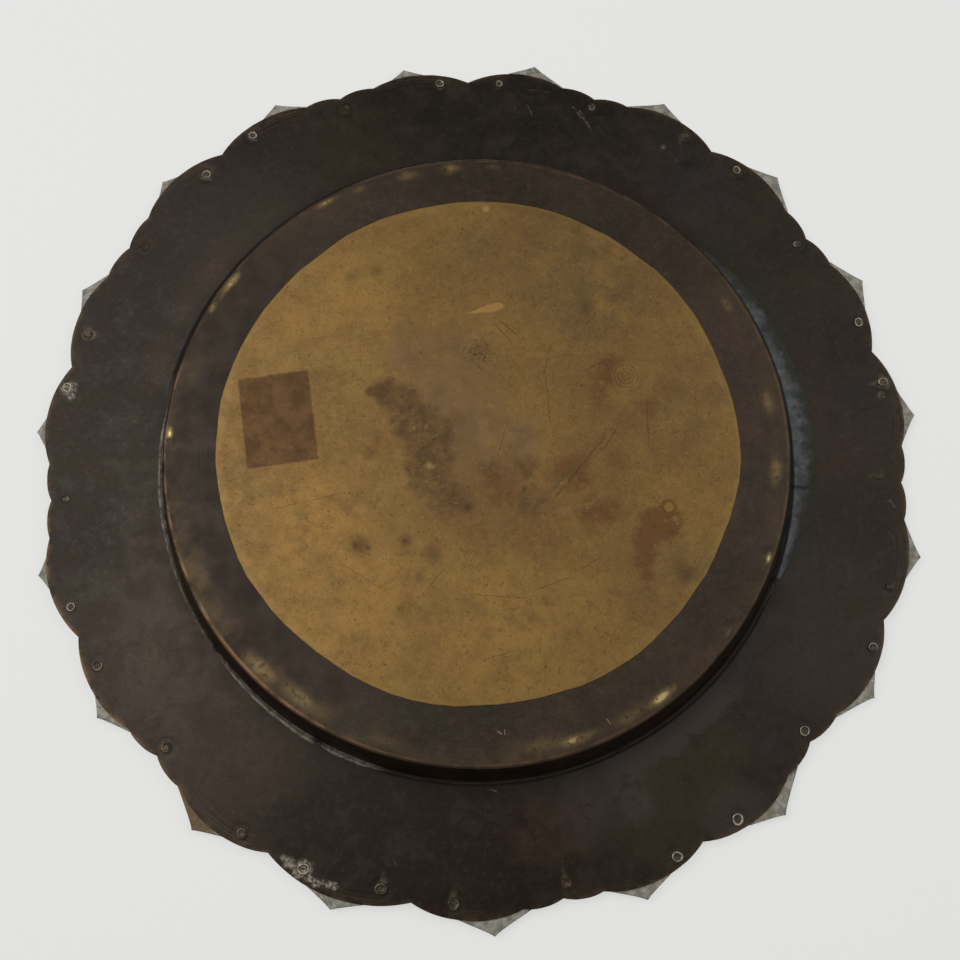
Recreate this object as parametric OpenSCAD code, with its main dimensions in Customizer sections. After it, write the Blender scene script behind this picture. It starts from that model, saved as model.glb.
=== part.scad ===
// Round metal Chinese checkers board, built like a three-metal plate:
// a scalloped copper rim ring, a deep spun brass pan soldered into it, pressed
// silver panels riveted round the rim, and a dimpled star field in the well.
// +Z points up out of the well. The origin is the centre of the flat underside
// of the brass backing disc, on which the board stands.

/* [Rim] */
// Radius to the points of the silver panels
tip_r = 230; // [207:1:253]
// Thickness of the copper rim ring
ring_t = 1.2; // [1:0.1:1.6]
// Thickness of the silver sheet
silver_t = 0.8; // [0.6:0.1:1]
// Height of the raised work on the silver panels
relief_h = 1.8; // [1:0.1:2.4]

/* [Pan] */
// Outside radius of the pan where it passes through the rim ring
drum_r = 161.4; // [160:0.2:162]
// Slope of the pan's wall from upright, in degrees
draft = 15; // [13:1:16]
// Depth from the back of the rim to the drum's flat underside
drum_h = 26.2; // [22:0.2:32]
// Thickness of the spun brass of the pan
pan_t = 1.2; // [1:0.1:1.4]
// Outside radius of the rounded shoulder of the drum
shoulder_r = 5; // [4:0.5:6]
// Width of the pan's lip over the silver panels
lip_w = 8.6; // [8:0.2:9]

/* [Backing disc] */
// Mean radius of the hand-cut brass backing disc
backing_r = 128; // [118:1:136]
// Thickness of the backing disc
backing_t = 0.8; // [0.6:0.1:1.2]

/* [Playing field] */
// Distance between neighbouring marble dimples
pitch = 19; // [17:0.1:19.2]
// Radius of a marble
marble_r = 8; // [7:0.5:8.5]
// Depth of a dimple
dimple_d = 2.2; // [1.6:0.1:2.4]
// Thickness of the wooden packing disc under the playing plate
core_t = 11.5; // [8:0.5:13]
// Thickness of the brass playing plate
plate_t = 2.5; // [2:0.1:3]
// Thickness of the star's inlaid sheets
inlay_t = 1; // [0.8:0.1:1.2]

/* [Rivets] */
// Radius of a rivet's shank
rivet_r = 1.6; // [1.2:0.1:1.8]
// Radius of the rolled tubular head on the back
rivet_back_r = 2.6; // [2.3:0.1:2.8]
// Radius of the domed head on the front
rivet_front_r = 3; // [2.6:0.1:3.4]

/* [Hidden] */

copper_c = [0.27, 0.20, 0.15];
brass_dark_c = [0.34, 0.27, 0.18];
brass_c = [0.62, 0.47, 0.20];
silver_c = [0.72, 0.72, 0.70];
solder_c = [0.48, 0.51, 0.53];
wood_c = [0.45, 0.29, 0.16];
copper_bright_c = [0.66, 0.35, 0.22];

tips = 19;
step_a = 360 / tips;          // angle of one silver point
notch_a = -1.25;              // first joint between two panels
ring_z = backing_t + drum_h;  // back face of the rim ring
silver_z = ring_z + ring_t;
top_z = silver_z + silver_t;
lip_t = 1;
wall_in = drum_r - pan_t;
lip_r = wall_in + lip_w;
floor_z = backing_t + pan_t;
plate_z = floor_z + core_t;
inlay_z = plate_z + plate_t;
surface_z = inlay_z + inlay_t;
hole_r = rivet_r + 0.05;
// Radius of the pan's wall at a height: outside, and inside.
function wall_out_r(z) = drum_r - (ring_z - z) * tan(draft);
function wall_in_r(z) = wall_out_r(z) - pan_t / cos(draft);
arc_r = wall_out_r(backing_t + shoulder_r * (1 - sin(draft))) - shoulder_r * cos(draft);

// The points were cut by eye: each leans a little from its even place, and is
// a little long or short. Degrees and millimetres, in order round the rim.
lean = [0.4, 0, 0, 0, -0.5, 0.2, 0, 0, -0.8, -0.3, -0.8, -0.2, 0, -0.8, 0, 0, 1.3, 0.8, 0.8];
reach = [-1, 0, 0, 0, 0, 0, 1, 0.5, 1, 0, 1.5, 0, -1.5, -3, -1.5, -2, 0, 2, 2];
// So were the notches of the copper: how far out each one lies from its even
// place, in order from the first joint between panels.
notch_out = [0, 0, 0.5, -0.5, 0.5, 1.5, 3, -0.5, 1, 1, 2, 1, -2.5, 1, 1, 0.5, 3, 5, 2.5];
// The rivets were set by eye. For each panel: the first end, the middle, and
// the last end, each as degrees along the rim and millimetres outwards.
rivet_off = [
  [[0, -0.5], [0, 0.5], [0, 0.5]], [[0, 0], [0, -0.5], [0, -0.5]],
  [[0, 0.5], [-0.7, -3], [0, 1.5]], [[-0.7, 2.5], [-0.6, 0], [-0.6, 1.5]],
  [[-0.8, 1], [-0.7, 1], [-0.6, 0.5]], [[-0.5, -0.5], [0, -2], [0, -2]],
  [[-0.5, -0.5], [0, 0], [1.6, 0]], [[0.5, -1], [1.2, 2.5], [1, 1]],
  [[0.6, 4.5], [0.3, 2], [0.4, 0]], [[-0.6, -2], [0, 0], [-0.3, 0.5]]];

// Panels in order round the rim: the index of the first point, and how many.
// Nine panels carry two points each, and one narrow panel carries a single one.
// Point 0 stands one step before the first joint, so panel 1 begins at point 1.
function first_tip(p) = p < 5 ? 1 + 2 * p : p == 9 ? 11 : 12 + 2 * (p - 5);
function tip_count(p) = p == 9 ? 1 : 2;
function start_a(p) = notch_a + (first_tip(p) - 1) * step_a;
function span_a(p) = tip_count(p) * step_a;
function tip_a(i) = notch_a + (i - 0.5) * step_a + lean[i % tips];
function panel_at(a) = // which panel holds the angle a, measured from the first joint
  let (k = floor(a / step_a))
  k < 10 ? floor(k / 2) : k < 11 ? 9 : 5 + floor((k - 11) / 2);

// Outline of the copper ring: a wide lobe under each point, then, at the middle
// of a two-point panel, a pair of small scallops.
function lobe(v, w, r0, r1, h) = let (t = v / w) r0 + (r1 - r0) * t + h * (1 - pow(abs(2 * t - 1), 2.2));
function half_double(v) = v < 13.9 ? lobe(v, 13.9, 0.9415, 0.950, 0.0225)
                                   : lobe(v - 13.9, step_a - 13.9, 0.950, 0.9425, 0.0065);
function ring_unit(a) =
  let (p = panel_at(a), v = a - (start_a(p) - notch_a), s = span_a(p))
  p == 9 ? lobe(v, s, 0.9415, 0.9415, 0.026) : half_double(min(v, s - v));
function notch_shift(a) = let (k = floor(a / step_a) % tips, t = a / step_a - floor(a / step_a))
  notch_out[k] * (1 - t) + notch_out[(k + 1) % tips] * t;
function ring_edge(a) = tip_r * ring_unit(a) + notch_shift(a) + 0.3 * sin(13 * a);
ring_steps = 20;
ring_pts = [for (k = [0:tips - 1], j = [0:ring_steps - 1])
  let (a = (k + j / ring_steps) * step_a, r = ring_edge(a), g = a + notch_a)
  [-r * sin(g), r * cos(g)]];

// Outline of a silver panel: ogee points whose sides sweep in on a hollow curve.
function point_unit(d, steep) = 1 - steep * pow(abs(d), 0.8);
function silver_edge(p, v) = // v is measured from the panel's own start
  max([for (j = [0:tip_count(p) - 1])
    let (i = first_tip(p) + j, d = v - (j + 0.5) * step_a - lean[i % tips],
         outer = tip_count(p) == 1 || (j == 0 ? d < 0 : d > 0))
    (tip_r + reach[i % tips]) * point_unit(d, outer ? 0.0098 : 0.0135)]);
function around(r, a) = [-r * sin(a), r * cos(a)];
function panel_pts(p) =
  let (s = span_a(p), n = 30 * tip_count(p), e = 0.06, a0 = start_a(p),
       fine = concat([for (k = [0:n]) e + (s - 2 * e) * k / n]))
  concat(
    [for (v = fine) around(max(silver_edge(p, v), 0.932 * tip_r), a0 + v)],
    [for (k = [n:-2:0]) around(drum_r + 0.2, a0 + e + (s - 2 * e) * k / n)]);

// Pointed arch round each flower: half width in degrees, foot and crown radii.
function arch(d, w, r0, r1) = r0 + (r1 - r0) * pow(1 - pow(min(1, abs(d) / w), 1.5), 0.8);
module arch_band(a) {
  n = 16;
  polygon(concat(
    [for (k = [-n:n]) let (d = 8 * k / n) around(arch(d, 8, 175, tip_r - 13), a + d)],
    [for (k = [n:-1:-n]) let (d = 7.1 * k / n) around(arch(d, 7.1, 175, tip_r - 16.6), a + d)]));
}

module flower(a, r) {
  rotate([0, 0, a]) translate([0, r, 0]) {
    for (k = [0:7]) rotate([0, 0, 45 * k]) translate([0, 7.6, 0])
      cylinder(h = 1 + silver_t / 2, r = 2.7, $fn = 32);
    intersection() {
      translate([0, 0, -9 + silver_t / 2 + relief_h]) sphere(r = 9, $fn = 48);
      cylinder(h = 6, r = 5.2, $fn = 48);
    }
  }
}

end_off = 4.6;
module end_places(p) {
  for (e = [[end_off, rivet_off[p][0]], [span_a(p) - end_off, rivet_off[p][2]]])
    rotate([0, 0, start_a(p) + e[0] + e[1][0]]) translate([0, 0.941 * tip_r + e[1][1], 0]) children();
}
module middle_place(p) {
  rotate([0, 0, start_a(p) + step_a + rivet_off[p][1][0]])
    translate([0, 0.916 * tip_r + rivet_off[p][1][1], 0]) children();
}

module rim_ring() {
  color(copper_c) translate([0, 0, ring_z]) difference() {
    linear_extrude(ring_t) polygon(ring_pts);
    translate([0, 0, -1]) cylinder(h = ring_t + 2, r = drum_r + 0.05, $fn = 240);
    for (p = [0:9]) {
      end_places(p) translate([0, 0, -1]) cylinder(h = ring_t + 2, r = hole_r, $fn = 24);
      if (p < 9) middle_place(p) translate([0, 0, -1]) cylinder(h = ring_t + 2, r = hole_r, $fn = 24);
    }
  }
}

function arc(cx, cz, r, a0, a1, n) = [for (k = [0:n]) let (a = a0 + (a1 - a0) * k / n) [cx + r * cos(a), cz + r * sin(a)]];

// Half section of the pan: flat floor, rounded shoulder, sloping wall, a short
// upright neck through the rim ring, and the lip turned out over the silver.
module well_pan() {
  cz = backing_t + shoulder_r;
  neck_z = ring_z - (wall_in_r(ring_z) - wall_in) / tan(draft); // where the inside turns upright
  color(brass_dark_c) rotate_extrude($fn = 240) polygon(concat(
    [[0, backing_t]],
    arc(arc_r, cz, shoulder_r, -90, -draft, 10),
    [[drum_r, ring_z], [drum_r, top_z], [lip_r, top_z], [lip_r, top_z + lip_t],
     [wall_in, top_z + lip_t], [wall_in, neck_z]],
    arc(arc_r, cz, shoulder_r - pan_t, -draft, -90, 8),
    [[0, floor_z]]));
}

// Cut from sheet with snips, so the edge is a run of short straight cuts.
function swell(a, c, w) = abs(a - c) < w ? 0.5 + 0.5 * cos(180 * (a - c) / w) : 0;
function backing_edge(a) = backing_r + 0.35 * sin(3 * a + 40) + 0.3 * sin(8 * a)
  + 1.6 * swell(a, 92, 24) + 1.2 * swell(a, 196, 22) - (a > 318 && a < 327 ? 1 : 0);
module backing_disc() {
  color(brass_c) linear_extrude(backing_t)
    polygon([for (a = [0:4.5:359]) around(backing_edge(a), a) + [0, 1.7]]);
}

module solder_fillet() {
  color(solder_c) rotate_extrude($fn = 240)
    polygon([[wall_out_r(ring_z - 3.4), ring_z - 3.4], [drum_r + 3.6, ring_z], [drum_r, ring_z]]);
}

module packing_disc() {
  color(wood_c) rotate_extrude($fn = 240)
    polygon([[0, floor_z], [arc_r - 1, floor_z], [wall_in_r(floor_z + 4) - 0.6, floor_z + 4],
             [wall_in_r(plate_z) - 0.6, plate_z], [0, plate_z]]);
}

// The star's holes lie on a triangular grid: two large triangles overlap.
row_h = pitch * sqrt(3) / 2;
function in_star(a, b, c) = (a >= -4 && b >= -4 && c >= -4) || (a <= 4 && b <= 4 && c <= 4);
module ball(a, b) {
  translate([pitch * (a + b / 2), row_h * b, surface_z + marble_r - dimple_d]) sphere(r = marble_r, $fn = 48);
}
edge_d = 4.5 * row_h; // distance of the star's side lines from its centre

module playing_plate() {
  color(brass_dark_c) difference() {
    translate([0, 0, plate_z]) cylinder(h = plate_t, r = wall_in_r(plate_z) - 0.4, $fn = 240);
    for (b = [-8:8], a = [-8:8]) if (in_star(a, b, -a - b)) ball(a, b);
  }
}

module star_field() {
  color(brass_c) difference() {
    translate([0, 0, inlay_z]) linear_extrude(inlay_t)
      polygon([for (k = [0:5]) around((edge_d - 0.3) * 2 / sqrt(3), 60 * k + 30)]);
    for (b = [-4:4], a = [-4:4]) if (abs(a + b) <= 4) ball(a, b);
  }
}

// One of the six home triangles, its point at the angle 60 * k.
module home_point(k, c) {
  e = 0.3;
  color(c) rotate([0, 0, 60 * k]) difference() {
    translate([0, 0, inlay_z]) linear_extrude(inlay_t)
      polygon([[0, 2 * edge_d - 2 * e], [-(edge_d - 3 * e) / sqrt(3), edge_d + e], [(edge_d - 3 * e) / sqrt(3), edge_d + e]]);
    for (b = [5:8], a = [-4:4]) if (-a - b >= -4) ball(a, b);
  }
}

module silver_panel(p) {
  color(silver_c) difference() {
    union() {
      translate([0, 0, silver_z]) linear_extrude(silver_t) polygon(panel_pts(p));
      for (j = [0:tip_count(p) - 1]) {
        i = first_tip(p) + j;
        a = notch_a + (i - 0.5) * step_a;
        translate([0, 0, silver_z + silver_t / 2]) {
          linear_extrude(silver_t / 2 + 1.2) arch_band(a);
          flower(a, 192);
        }
      }
      if (tip_count(p) == 2) // bud between the two arches
        rotate([0, 0, start_a(p) + step_a]) translate([0, 194, silver_z + silver_t / 2])
          cylinder(h = silver_t / 2 + 1, r = 3.6, $fn = 32);
    }
    end_places(p) translate([0, 0, silver_z - 1]) cylinder(h = 6, r = hole_r, $fn = 24);
    if (tip_count(p) == 2) middle_place(p) translate([0, 0, silver_z - 1]) cylinder(h = 6, r = hole_r, $fn = 24);
  }
}

// Half-round wire soldered over the edge of the lip.
module border_wire() {
  color(silver_c) rotate_extrude($fn = 240) intersection() {
    translate([lip_r + 2.3, top_z + 1]) circle(r = 2.2, $fn = 64);
    translate([lip_r, top_z]) square([6, 6]);
  }
}

module rivet() {
  b = ring_z;
  f = top_z;
  color(silver_c) rotate_extrude($fn = 32) difference() {
    union() {
      translate([0, b]) square([rivet_r, ring_t + silver_t]);
      translate([0, b - 0.7]) square([rivet_back_r - 0.35, 0.7]);
      translate([rivet_back_r - 0.35, b - 0.35]) intersection() {
        circle(r = 0.35, $fn = 32);
        translate([0, -1]) square([1, 1.35]);
      }
      intersection() {
        translate([0, f + 1.2 - 4.35]) circle(r = 4.35, $fn = 96);
        translate([0, f]) square([rivet_front_r, 3]);
      }
    }
    translate([-1, b - 2]) square([2.1, 3]); // recess of the tubular end
    translate([-10, -10]) square([10, 100]);
  }
}

module end_rivets() { for (p = [0:9]) end_places(p) rivet(); }
module middle_rivets() { for (p = [0:8]) middle_place(p) rivet(); }

rim_ring();
well_pan();
backing_disc();
solder_fillet();
packing_disc();
playing_plate();
star_field();
home_point(0, silver_c);  // home_point_1
home_point(1, copper_bright_c);  // home_point_2
home_point(2, silver_c);  // home_point_3
home_point(3, copper_bright_c);  // home_point_4
home_point(4, silver_c);  // home_point_5
home_point(5, copper_bright_c);  // home_point_6
silver_panel(0);  // silver_panel_1
silver_panel(1);  // silver_panel_2
silver_panel(2);  // silver_panel_3
silver_panel(3);  // silver_panel_4
silver_panel(4);  // silver_panel_5
silver_panel(5);  // silver_panel_6
silver_panel(6);  // silver_panel_7
silver_panel(7);  // silver_panel_8
silver_panel(8);  // silver_panel_9
silver_panel(9);  // silver_panel_single
border_wire();
end_rivets();
middle_rivets();
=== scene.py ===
# Looks of the round metal board: detailed meshes and procedural materials over
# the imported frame. Row frame in metres: +Z up out of the well, the board's foot
# at z = 0. Angles "a" turn from +Y towards -X, in degrees, like part.scad's.
import math

import bmesh
import bpy
import numpy as np
from mathutils import Matrix, Vector


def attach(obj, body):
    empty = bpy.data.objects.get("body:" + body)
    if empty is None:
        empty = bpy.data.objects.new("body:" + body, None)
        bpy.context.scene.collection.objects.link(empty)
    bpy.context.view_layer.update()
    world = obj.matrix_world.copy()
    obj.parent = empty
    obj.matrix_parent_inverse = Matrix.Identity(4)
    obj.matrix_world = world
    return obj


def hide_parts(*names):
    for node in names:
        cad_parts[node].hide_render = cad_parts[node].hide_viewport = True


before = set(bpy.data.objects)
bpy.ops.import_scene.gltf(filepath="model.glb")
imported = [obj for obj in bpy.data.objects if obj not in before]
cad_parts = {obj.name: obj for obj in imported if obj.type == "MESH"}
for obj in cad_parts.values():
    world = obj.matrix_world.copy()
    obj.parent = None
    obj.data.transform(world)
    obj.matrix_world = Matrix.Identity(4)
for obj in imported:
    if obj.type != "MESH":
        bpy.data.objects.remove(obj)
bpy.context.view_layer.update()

scene = bpy.context.scene
MM = 0.001

# ---------------------------------------------------------------- sizes (mm)
TIP_R = 230.0
RING_Z = 27.0  # back face of the copper ring
SILVER_Z = 28.2
TOP_Z = 29.0
DRUM_R = 161.4
DRAFT = 15.0
PAN_T = 1.2
BACK_T = 0.8
SHOULDER = 5.0
WALL_IN = DRUM_R - PAN_T
LIP_R = WALL_IN + 8.6
TIPS = 19
STEP = 360.0 / TIPS
NOTCH = -1.25
LEAN = [0.4, 0, 0, 0, -0.5, 0.2, 0, 0, -0.8, -0.3, -0.8, -0.2, 0, -0.8, 0, 0, 1.3, 0.8, 0.8]
REACH = [-1, 0, 0, 0, 0, 0, 1, 0.5, 1, 0, 1.5, 0, -1.5, -3, -1.5, -2, 0, 2, 2]
NOTCH_OUT = [0, 0, 0.5, -0.5, 0.5, 1.5, 3, -0.5, 1, 1, 2, 1, -2.5, 1, 1, 0.5, 3, 5, 2.5]
RIVET_OFF = [
    [[0, -0.5], [0, 0.5], [0, 0.5]], [[0, 0], [0, -0.5], [0, -0.5]],
    [[0, 0.5], [-0.7, -3], [0, 1.5]], [[-0.7, 2.5], [-0.6, 0], [-0.6, 1.5]],
    [[-0.8, 1], [-0.7, 1], [-0.6, 0.5]], [[-0.5, -0.5], [0, -2], [0, -2]],
    [[-0.5, -0.5], [0, 0], [1.6, 0]], [[0.5, -1], [1.2, 2.5], [1, 1]],
    [[0.6, 4.5], [0.3, 2], [0.4, 0]], [[-0.6, -2], [0, 0], [-0.3, 0.5]],
]


def first_tip(p):
    return 1 + 2 * p if p < 5 else (11 if p == 9 else 12 + 2 * (p - 5))


def tip_count(p):
    return 1 if p == 9 else 2


def start_a(p):
    return NOTCH + (first_tip(p) - 1) * STEP


def span_a(p):
    return tip_count(p) * STEP


def sind(a):
    return np.sin(np.radians(a))


def cosd(a):
    return np.cos(np.radians(a))


def around(r, a):
    return -r * sind(a), r * cosd(a)


def lobe(v, w, r0, r1, h):
    t = v / w
    return r0 + (r1 - r0) * t + h * (1 - np.abs(2 * t - 1) ** 2.2)


def ring_edge(a):
    """Outer radius of the copper at angle a from the first notch (array, degrees)."""
    a = np.mod(np.asarray(a, float), 360.0)
    k = np.floor(a / STEP).astype(int)
    single = k == 10
    base = np.where(k < 10, (k // 2) * 2, np.where(k < 11, 10, 11 + ((k - 11) // 2) * 2)) * STEP
    v = a - base
    s = np.where(single, STEP, 2 * STEP)
    m = np.minimum(v, s - v)
    big = lobe(np.clip(m, 0, 13.9), 13.9, 0.9415, 0.950, 0.0225)
    small = lobe(np.clip(m - 13.9, 0, STEP - 13.9), STEP - 13.9, 0.950, 0.9425, 0.0065)
    one = lobe(v, STEP, 0.9415, 0.9415, 0.026)
    unit = np.where(single, one, np.where(m < 13.9, big, small))
    t = a / STEP - np.floor(a / STEP)
    n = np.array(NOTCH_OUT, float)
    shift = n[k % TIPS] * (1 - t) + n[(k + 1) % TIPS] * t
    return TIP_R * unit + shift + 0.3 * sind(13 * a)


def silver_edge(p, v):
    v = np.asarray(v, float)
    best = np.zeros_like(v)
    for j in range(tip_count(p)):
        i = first_tip(p) + j
        d = v - (j + 0.5) * STEP - LEAN[i % TIPS]
        outer = np.ones_like(v, bool) if tip_count(p) == 1 else ((d < 0) if j == 0 else (d > 0))
        steep = np.where(outer, 0.0098, 0.0135)
        best = np.maximum(best, (TIP_R + REACH[i % TIPS]) * (1 - steep * np.abs(d) ** 0.8))
    return np.maximum(best, 0.932 * TIP_R)


def rivet_places(p):
    """(angle, radius, kind) of a panel's rivets."""
    o = RIVET_OFF[p]
    out = [(start_a(p) + 4.6 + o[0][0], 0.941 * TIP_R + o[0][1], "end"),
           (start_a(p) + span_a(p) - 4.6 + o[2][0], 0.941 * TIP_R + o[2][1], "end")]
    if p < 9:
        out.append((start_a(p) + STEP + o[1][0], 0.916 * TIP_R + o[1][1], "middle"))
    return out


RIVETS = [(a, r, kind, p) for p in range(10) for a, r, kind in rivet_places(p)]

# ---------------------------------------------------------------- noise
def value_noise(x, y, size, seed, octaves=1):
    """Smooth noise in -1..1 over the plane; features about size across."""
    out = np.zeros_like(x, dtype=float)
    amp, total = 1.0, 0.0
    for o in range(octaves):
        rng = np.random.RandomState(seed * 101 + o)
        tab = rng.rand(256, 256) * 2 - 1
        u, v = x / size + 97.3 * (o + 1), y / size + 31.7 * (o + 1)
        iu, iv = np.floor(u).astype(int), np.floor(v).astype(int)
        fu, fv = u - iu, v - iv
        fu, fv = fu * fu * (3 - 2 * fu), fv * fv * (3 - 2 * fv)
        a, b = tab[iu % 256, iv % 256], tab[(iu + 1) % 256, iv % 256]
        c, d = tab[iu % 256, (iv + 1) % 256], tab[(iu + 1) % 256, (iv + 1) % 256]
        out += amp * ((a * (1 - fu) + b * fu) * (1 - fv) + (c * (1 - fu) + d * fu) * fv)
        total += amp
        amp *= 0.5
        size = size / 2
    return out / total


def smooth(x, lo, hi):
    t = np.clip((x - lo) / (hi - lo), 0, 1)
    return t * t * (3 - 2 * t)


# ---------------------------------------------------------------- mesh tools
def new_mesh(name, verts, quads, tris=None, sharp=35.0, attrs=None):
    """verts in mm (N,3); quads (Q,4); tris (T,3)."""
    me = bpy.data.meshes.new(name)
    verts = np.asarray(verts, float) * MM
    quads = np.asarray(quads, int).reshape(-1, 4)
    tris = np.asarray(tris if tris is not None else [], int).reshape(-1, 3)
    nq, nt = len(quads), len(tris)
    me.vertices.add(len(verts))
    me.vertices.foreach_set("co", verts.astype(np.float32).ravel())
    me.loops.add(nq * 4 + nt * 3)
    me.loops.foreach_set("vertex_index", np.concatenate([quads.ravel(), tris.ravel()]).astype(np.int32))
    me.polygons.add(nq + nt)
    me.polygons.foreach_set("loop_start", np.concatenate([np.arange(nq) * 4, nq * 4 + np.arange(nt) * 3]).astype(np.int32))
    me.update(calc_edges=True)
    me.validate()
    bm = bmesh.new()
    bm.from_mesh(me)
    bmesh.ops.recalc_face_normals(bm, faces=bm.faces)
    bm.to_mesh(me)
    bm.free()
    for k, val in (attrs or {}).items():
        at = me.attributes.new(k, "FLOAT", "POINT")
        at.data.foreach_set("value", np.asarray(val, np.float32).ravel())
    me.polygons.foreach_set("use_smooth", np.ones(len(me.polygons), bool))
    me.set_sharp_from_angle(angle=math.radians(sharp))
    ob = bpy.data.objects.new(name, me)
    scene.collection.objects.link(ob)
    return ob


def torus_faces(U, V, base=0):
    """Quads of a grid that closes both ways; vertex index = u * V + v."""
    u, v = np.meshgrid(np.arange(U), np.arange(V), indexing="ij")
    u2, v2 = (u + 1) % U, (v + 1) % V
    return np.stack([u * V + v, u2 * V + v, u2 * V + v2, u * V + v2], -1).reshape(-1, 4) + base


def sheet_faces(U, V, base=0):
    u, v = np.meshgrid(np.arange(U - 1), np.arange(V - 1), indexing="ij")
    return np.stack([u * V + v, (u + 1) * V + v, (u + 1) * V + v + 1, u * V + v + 1], -1).reshape(-1, 4) + base


def piece(ob, slot, mat, *nodes):
    ob.data.materials.append(mat)
    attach(ob, "root")
    if nodes:
        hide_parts(*nodes)
    return ob


# ---------------------------------------------------------------- materials
def lin(h, gain=1.0):
    h = h.lstrip("#")
    c = [int(h[i:i + 2], 16) / 255 for i in (0, 2, 4)]
    c = [x / 12.92 if x <= 0.04045 else ((x + 0.055) / 1.055) ** 2.4 for x in c]
    return tuple([x * gain for x in c] + [1.0])


class Mat:
    """A small builder for node materials. Positions are in mm in the board's own frame."""

    def __init__(self, name):
        self.m = bpy.data.materials.new(name)
        self.m.use_nodes = True
        self.t = self.m.node_tree
        self.t.nodes.clear()
        self.out = self.n("ShaderNodeOutputMaterial")
        self.b = self.n("ShaderNodeBsdfPrincipled")
        self.t.links.new(self.b.outputs[0], self.out.inputs[0])
        tc = self.n("ShaderNodeTexCoord")
        self.p = self.v("SCALE", tc.outputs["Object"], scale=1000.0)
        s = self.n("ShaderNodeSeparateXYZ")
        self.link(self.p, s.inputs[0])
        self.x, self.y, self.z = s.outputs
        self.flat = self.comb(self.x, self.y, 0.0)
        self.r = self.v("LENGTH", self.flat, out=1)

    def n(self, kind, **props):
        node = self.t.nodes.new(kind)
        for k, val in props.items():
            setattr(node, k, val)
        return node

    def link(self, src, dst):
        if isinstance(src, (int, float)):
            dst.default_value = src
        elif isinstance(src, (tuple, list)):
            dst.default_value = src
        else:
            self.t.links.new(src, dst)

    def comb(self, x, y, z):
        c = self.n("ShaderNodeCombineXYZ")
        for i, s in enumerate((x, y, z)):
            self.link(s, c.inputs[i])
        return c.outputs[0]

    def v(self, op, a, b=None, scale=None, out=0):
        node = self.n("ShaderNodeVectorMath", operation=op)
        self.link(a, node.inputs[0])
        if b is not None:
            self.link(b, node.inputs[1])
        if scale is not None:
            node.inputs["Scale"].default_value = scale
        return node.outputs[out]

    def f(self, op, a, b=None, c=None, clamp=False):
        node = self.n("ShaderNodeMath", operation=op, use_clamp=clamp)
        self.link(a, node.inputs[0])
        if b is not None:
            self.link(b, node.inputs[1])
        if c is not None:
            self.link(c, node.inputs[2])
        return node.outputs[0]

    def noise(self, size, detail=4.0, rough=0.55, vec=None, distort=0.0, seed=0.0, out=0):
        node = self.n("ShaderNodeTexNoise", noise_dimensions="3D")
        node.inputs["Scale"].default_value = 1.0 / size
        node.inputs["Detail"].default_value = detail
        node.inputs["Roughness"].default_value = rough
        node.inputs["Distortion"].default_value = distort
        vec = self.p if vec is None else vec
        if seed:
            vec = self.v("ADD", vec, (seed * 137.0, seed * 71.0, seed * 29.0))
        self.link(vec, node.inputs["Vector"])
        return node.outputs[out]

    def voronoi(self, size, vec=None, feature="F1", rand=1.0, seed=0.0):
        node = self.n("ShaderNodeTexVoronoi", feature=feature)
        node.inputs["Scale"].default_value = 1.0 / size
        node.inputs["Randomness"].default_value = rand
        vec = self.p if vec is None else vec
        if seed:
            vec = self.v("ADD", vec, (seed * 137.0, seed * 71.0, seed * 29.0))
        self.link(vec, node.inputs["Vector"])
        return node.outputs["Distance"]

    def span(self, x, lo, hi, a=0.0, b=1.0, kind="SMOOTHSTEP"):
        node = self.n("ShaderNodeMapRange", interpolation_type=kind, clamp=True)
        self.link(x, node.inputs[0])
        for i, s in enumerate((lo, hi, a, b)):
            self.link(s, node.inputs[i + 1])
        return node.outputs[0]

    def mix(self, fac, a, b, mode="MIX"):
        node = self.n("ShaderNodeMix", data_type="RGBA", blend_type=mode)
        node.clamp_factor = True
        self.link(fac, node.inputs[0])
        self.link(a, node.inputs[6])
        self.link(b, node.inputs[7])
        return node.outputs[2]

    def tint(self, color, r, g, b):
        return self.v("MULTIPLY", color, (r, g, b))

    def mul(self, *xs):
        out = xs[0]
        for s in xs[1:]:
            out = self.f("MULTIPLY", out, s)
        return out

    def top(self, *xs):
        out = xs[0]
        for s in xs[1:]:
            out = self.f("MAXIMUM", out, s)
        return out

    def inv(self, x):
        return self.f("SUBTRACT", 1.0, x)

    def warp_field(self, size, amount, fine_size, fine_amount, seed=0):
        """Two unevenly shifted copies of the flat position, so that stains get natural outlines."""
        big = self.v("SCALE", self.v("SUBTRACT", self.noise(size, 4.0, 0.6, seed=seed + 0.37, out=1), (0.5, 0.5, 0.5)), scale=amount * 2)
        small = self.v("SCALE", self.v("SUBTRACT", self.noise(fine_size, 3.0, 0.65, seed=seed + 0.71, out=1), (0.5, 0.5, 0.5)), scale=fine_amount)
        cut = (1.0, 1.0, 0.0)
        self.fine = self.v("MULTIPLY", self.v("ADD", self.flat, self.v("SCALE", small, scale=0.55)), cut)
        self.warped = self.v("MULTIPLY", self.v("ADD", self.v("ADD", self.flat, big), small), cut)

    def near(self, x, y, rad, soft, gain=None):
        """1 near (x, y) in mm, with an uneven edge; small marks keep their place."""
        field = self.warped if rad + soft > 9 else self.fine
        ln = self.v("LENGTH", self.v("SUBTRACT", field, (x, y, 0.0)), out=1)
        return self.span(ln, rad + soft, max(rad - soft, 0.0), 0.0, 1.0 if gain is None else gain)

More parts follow.
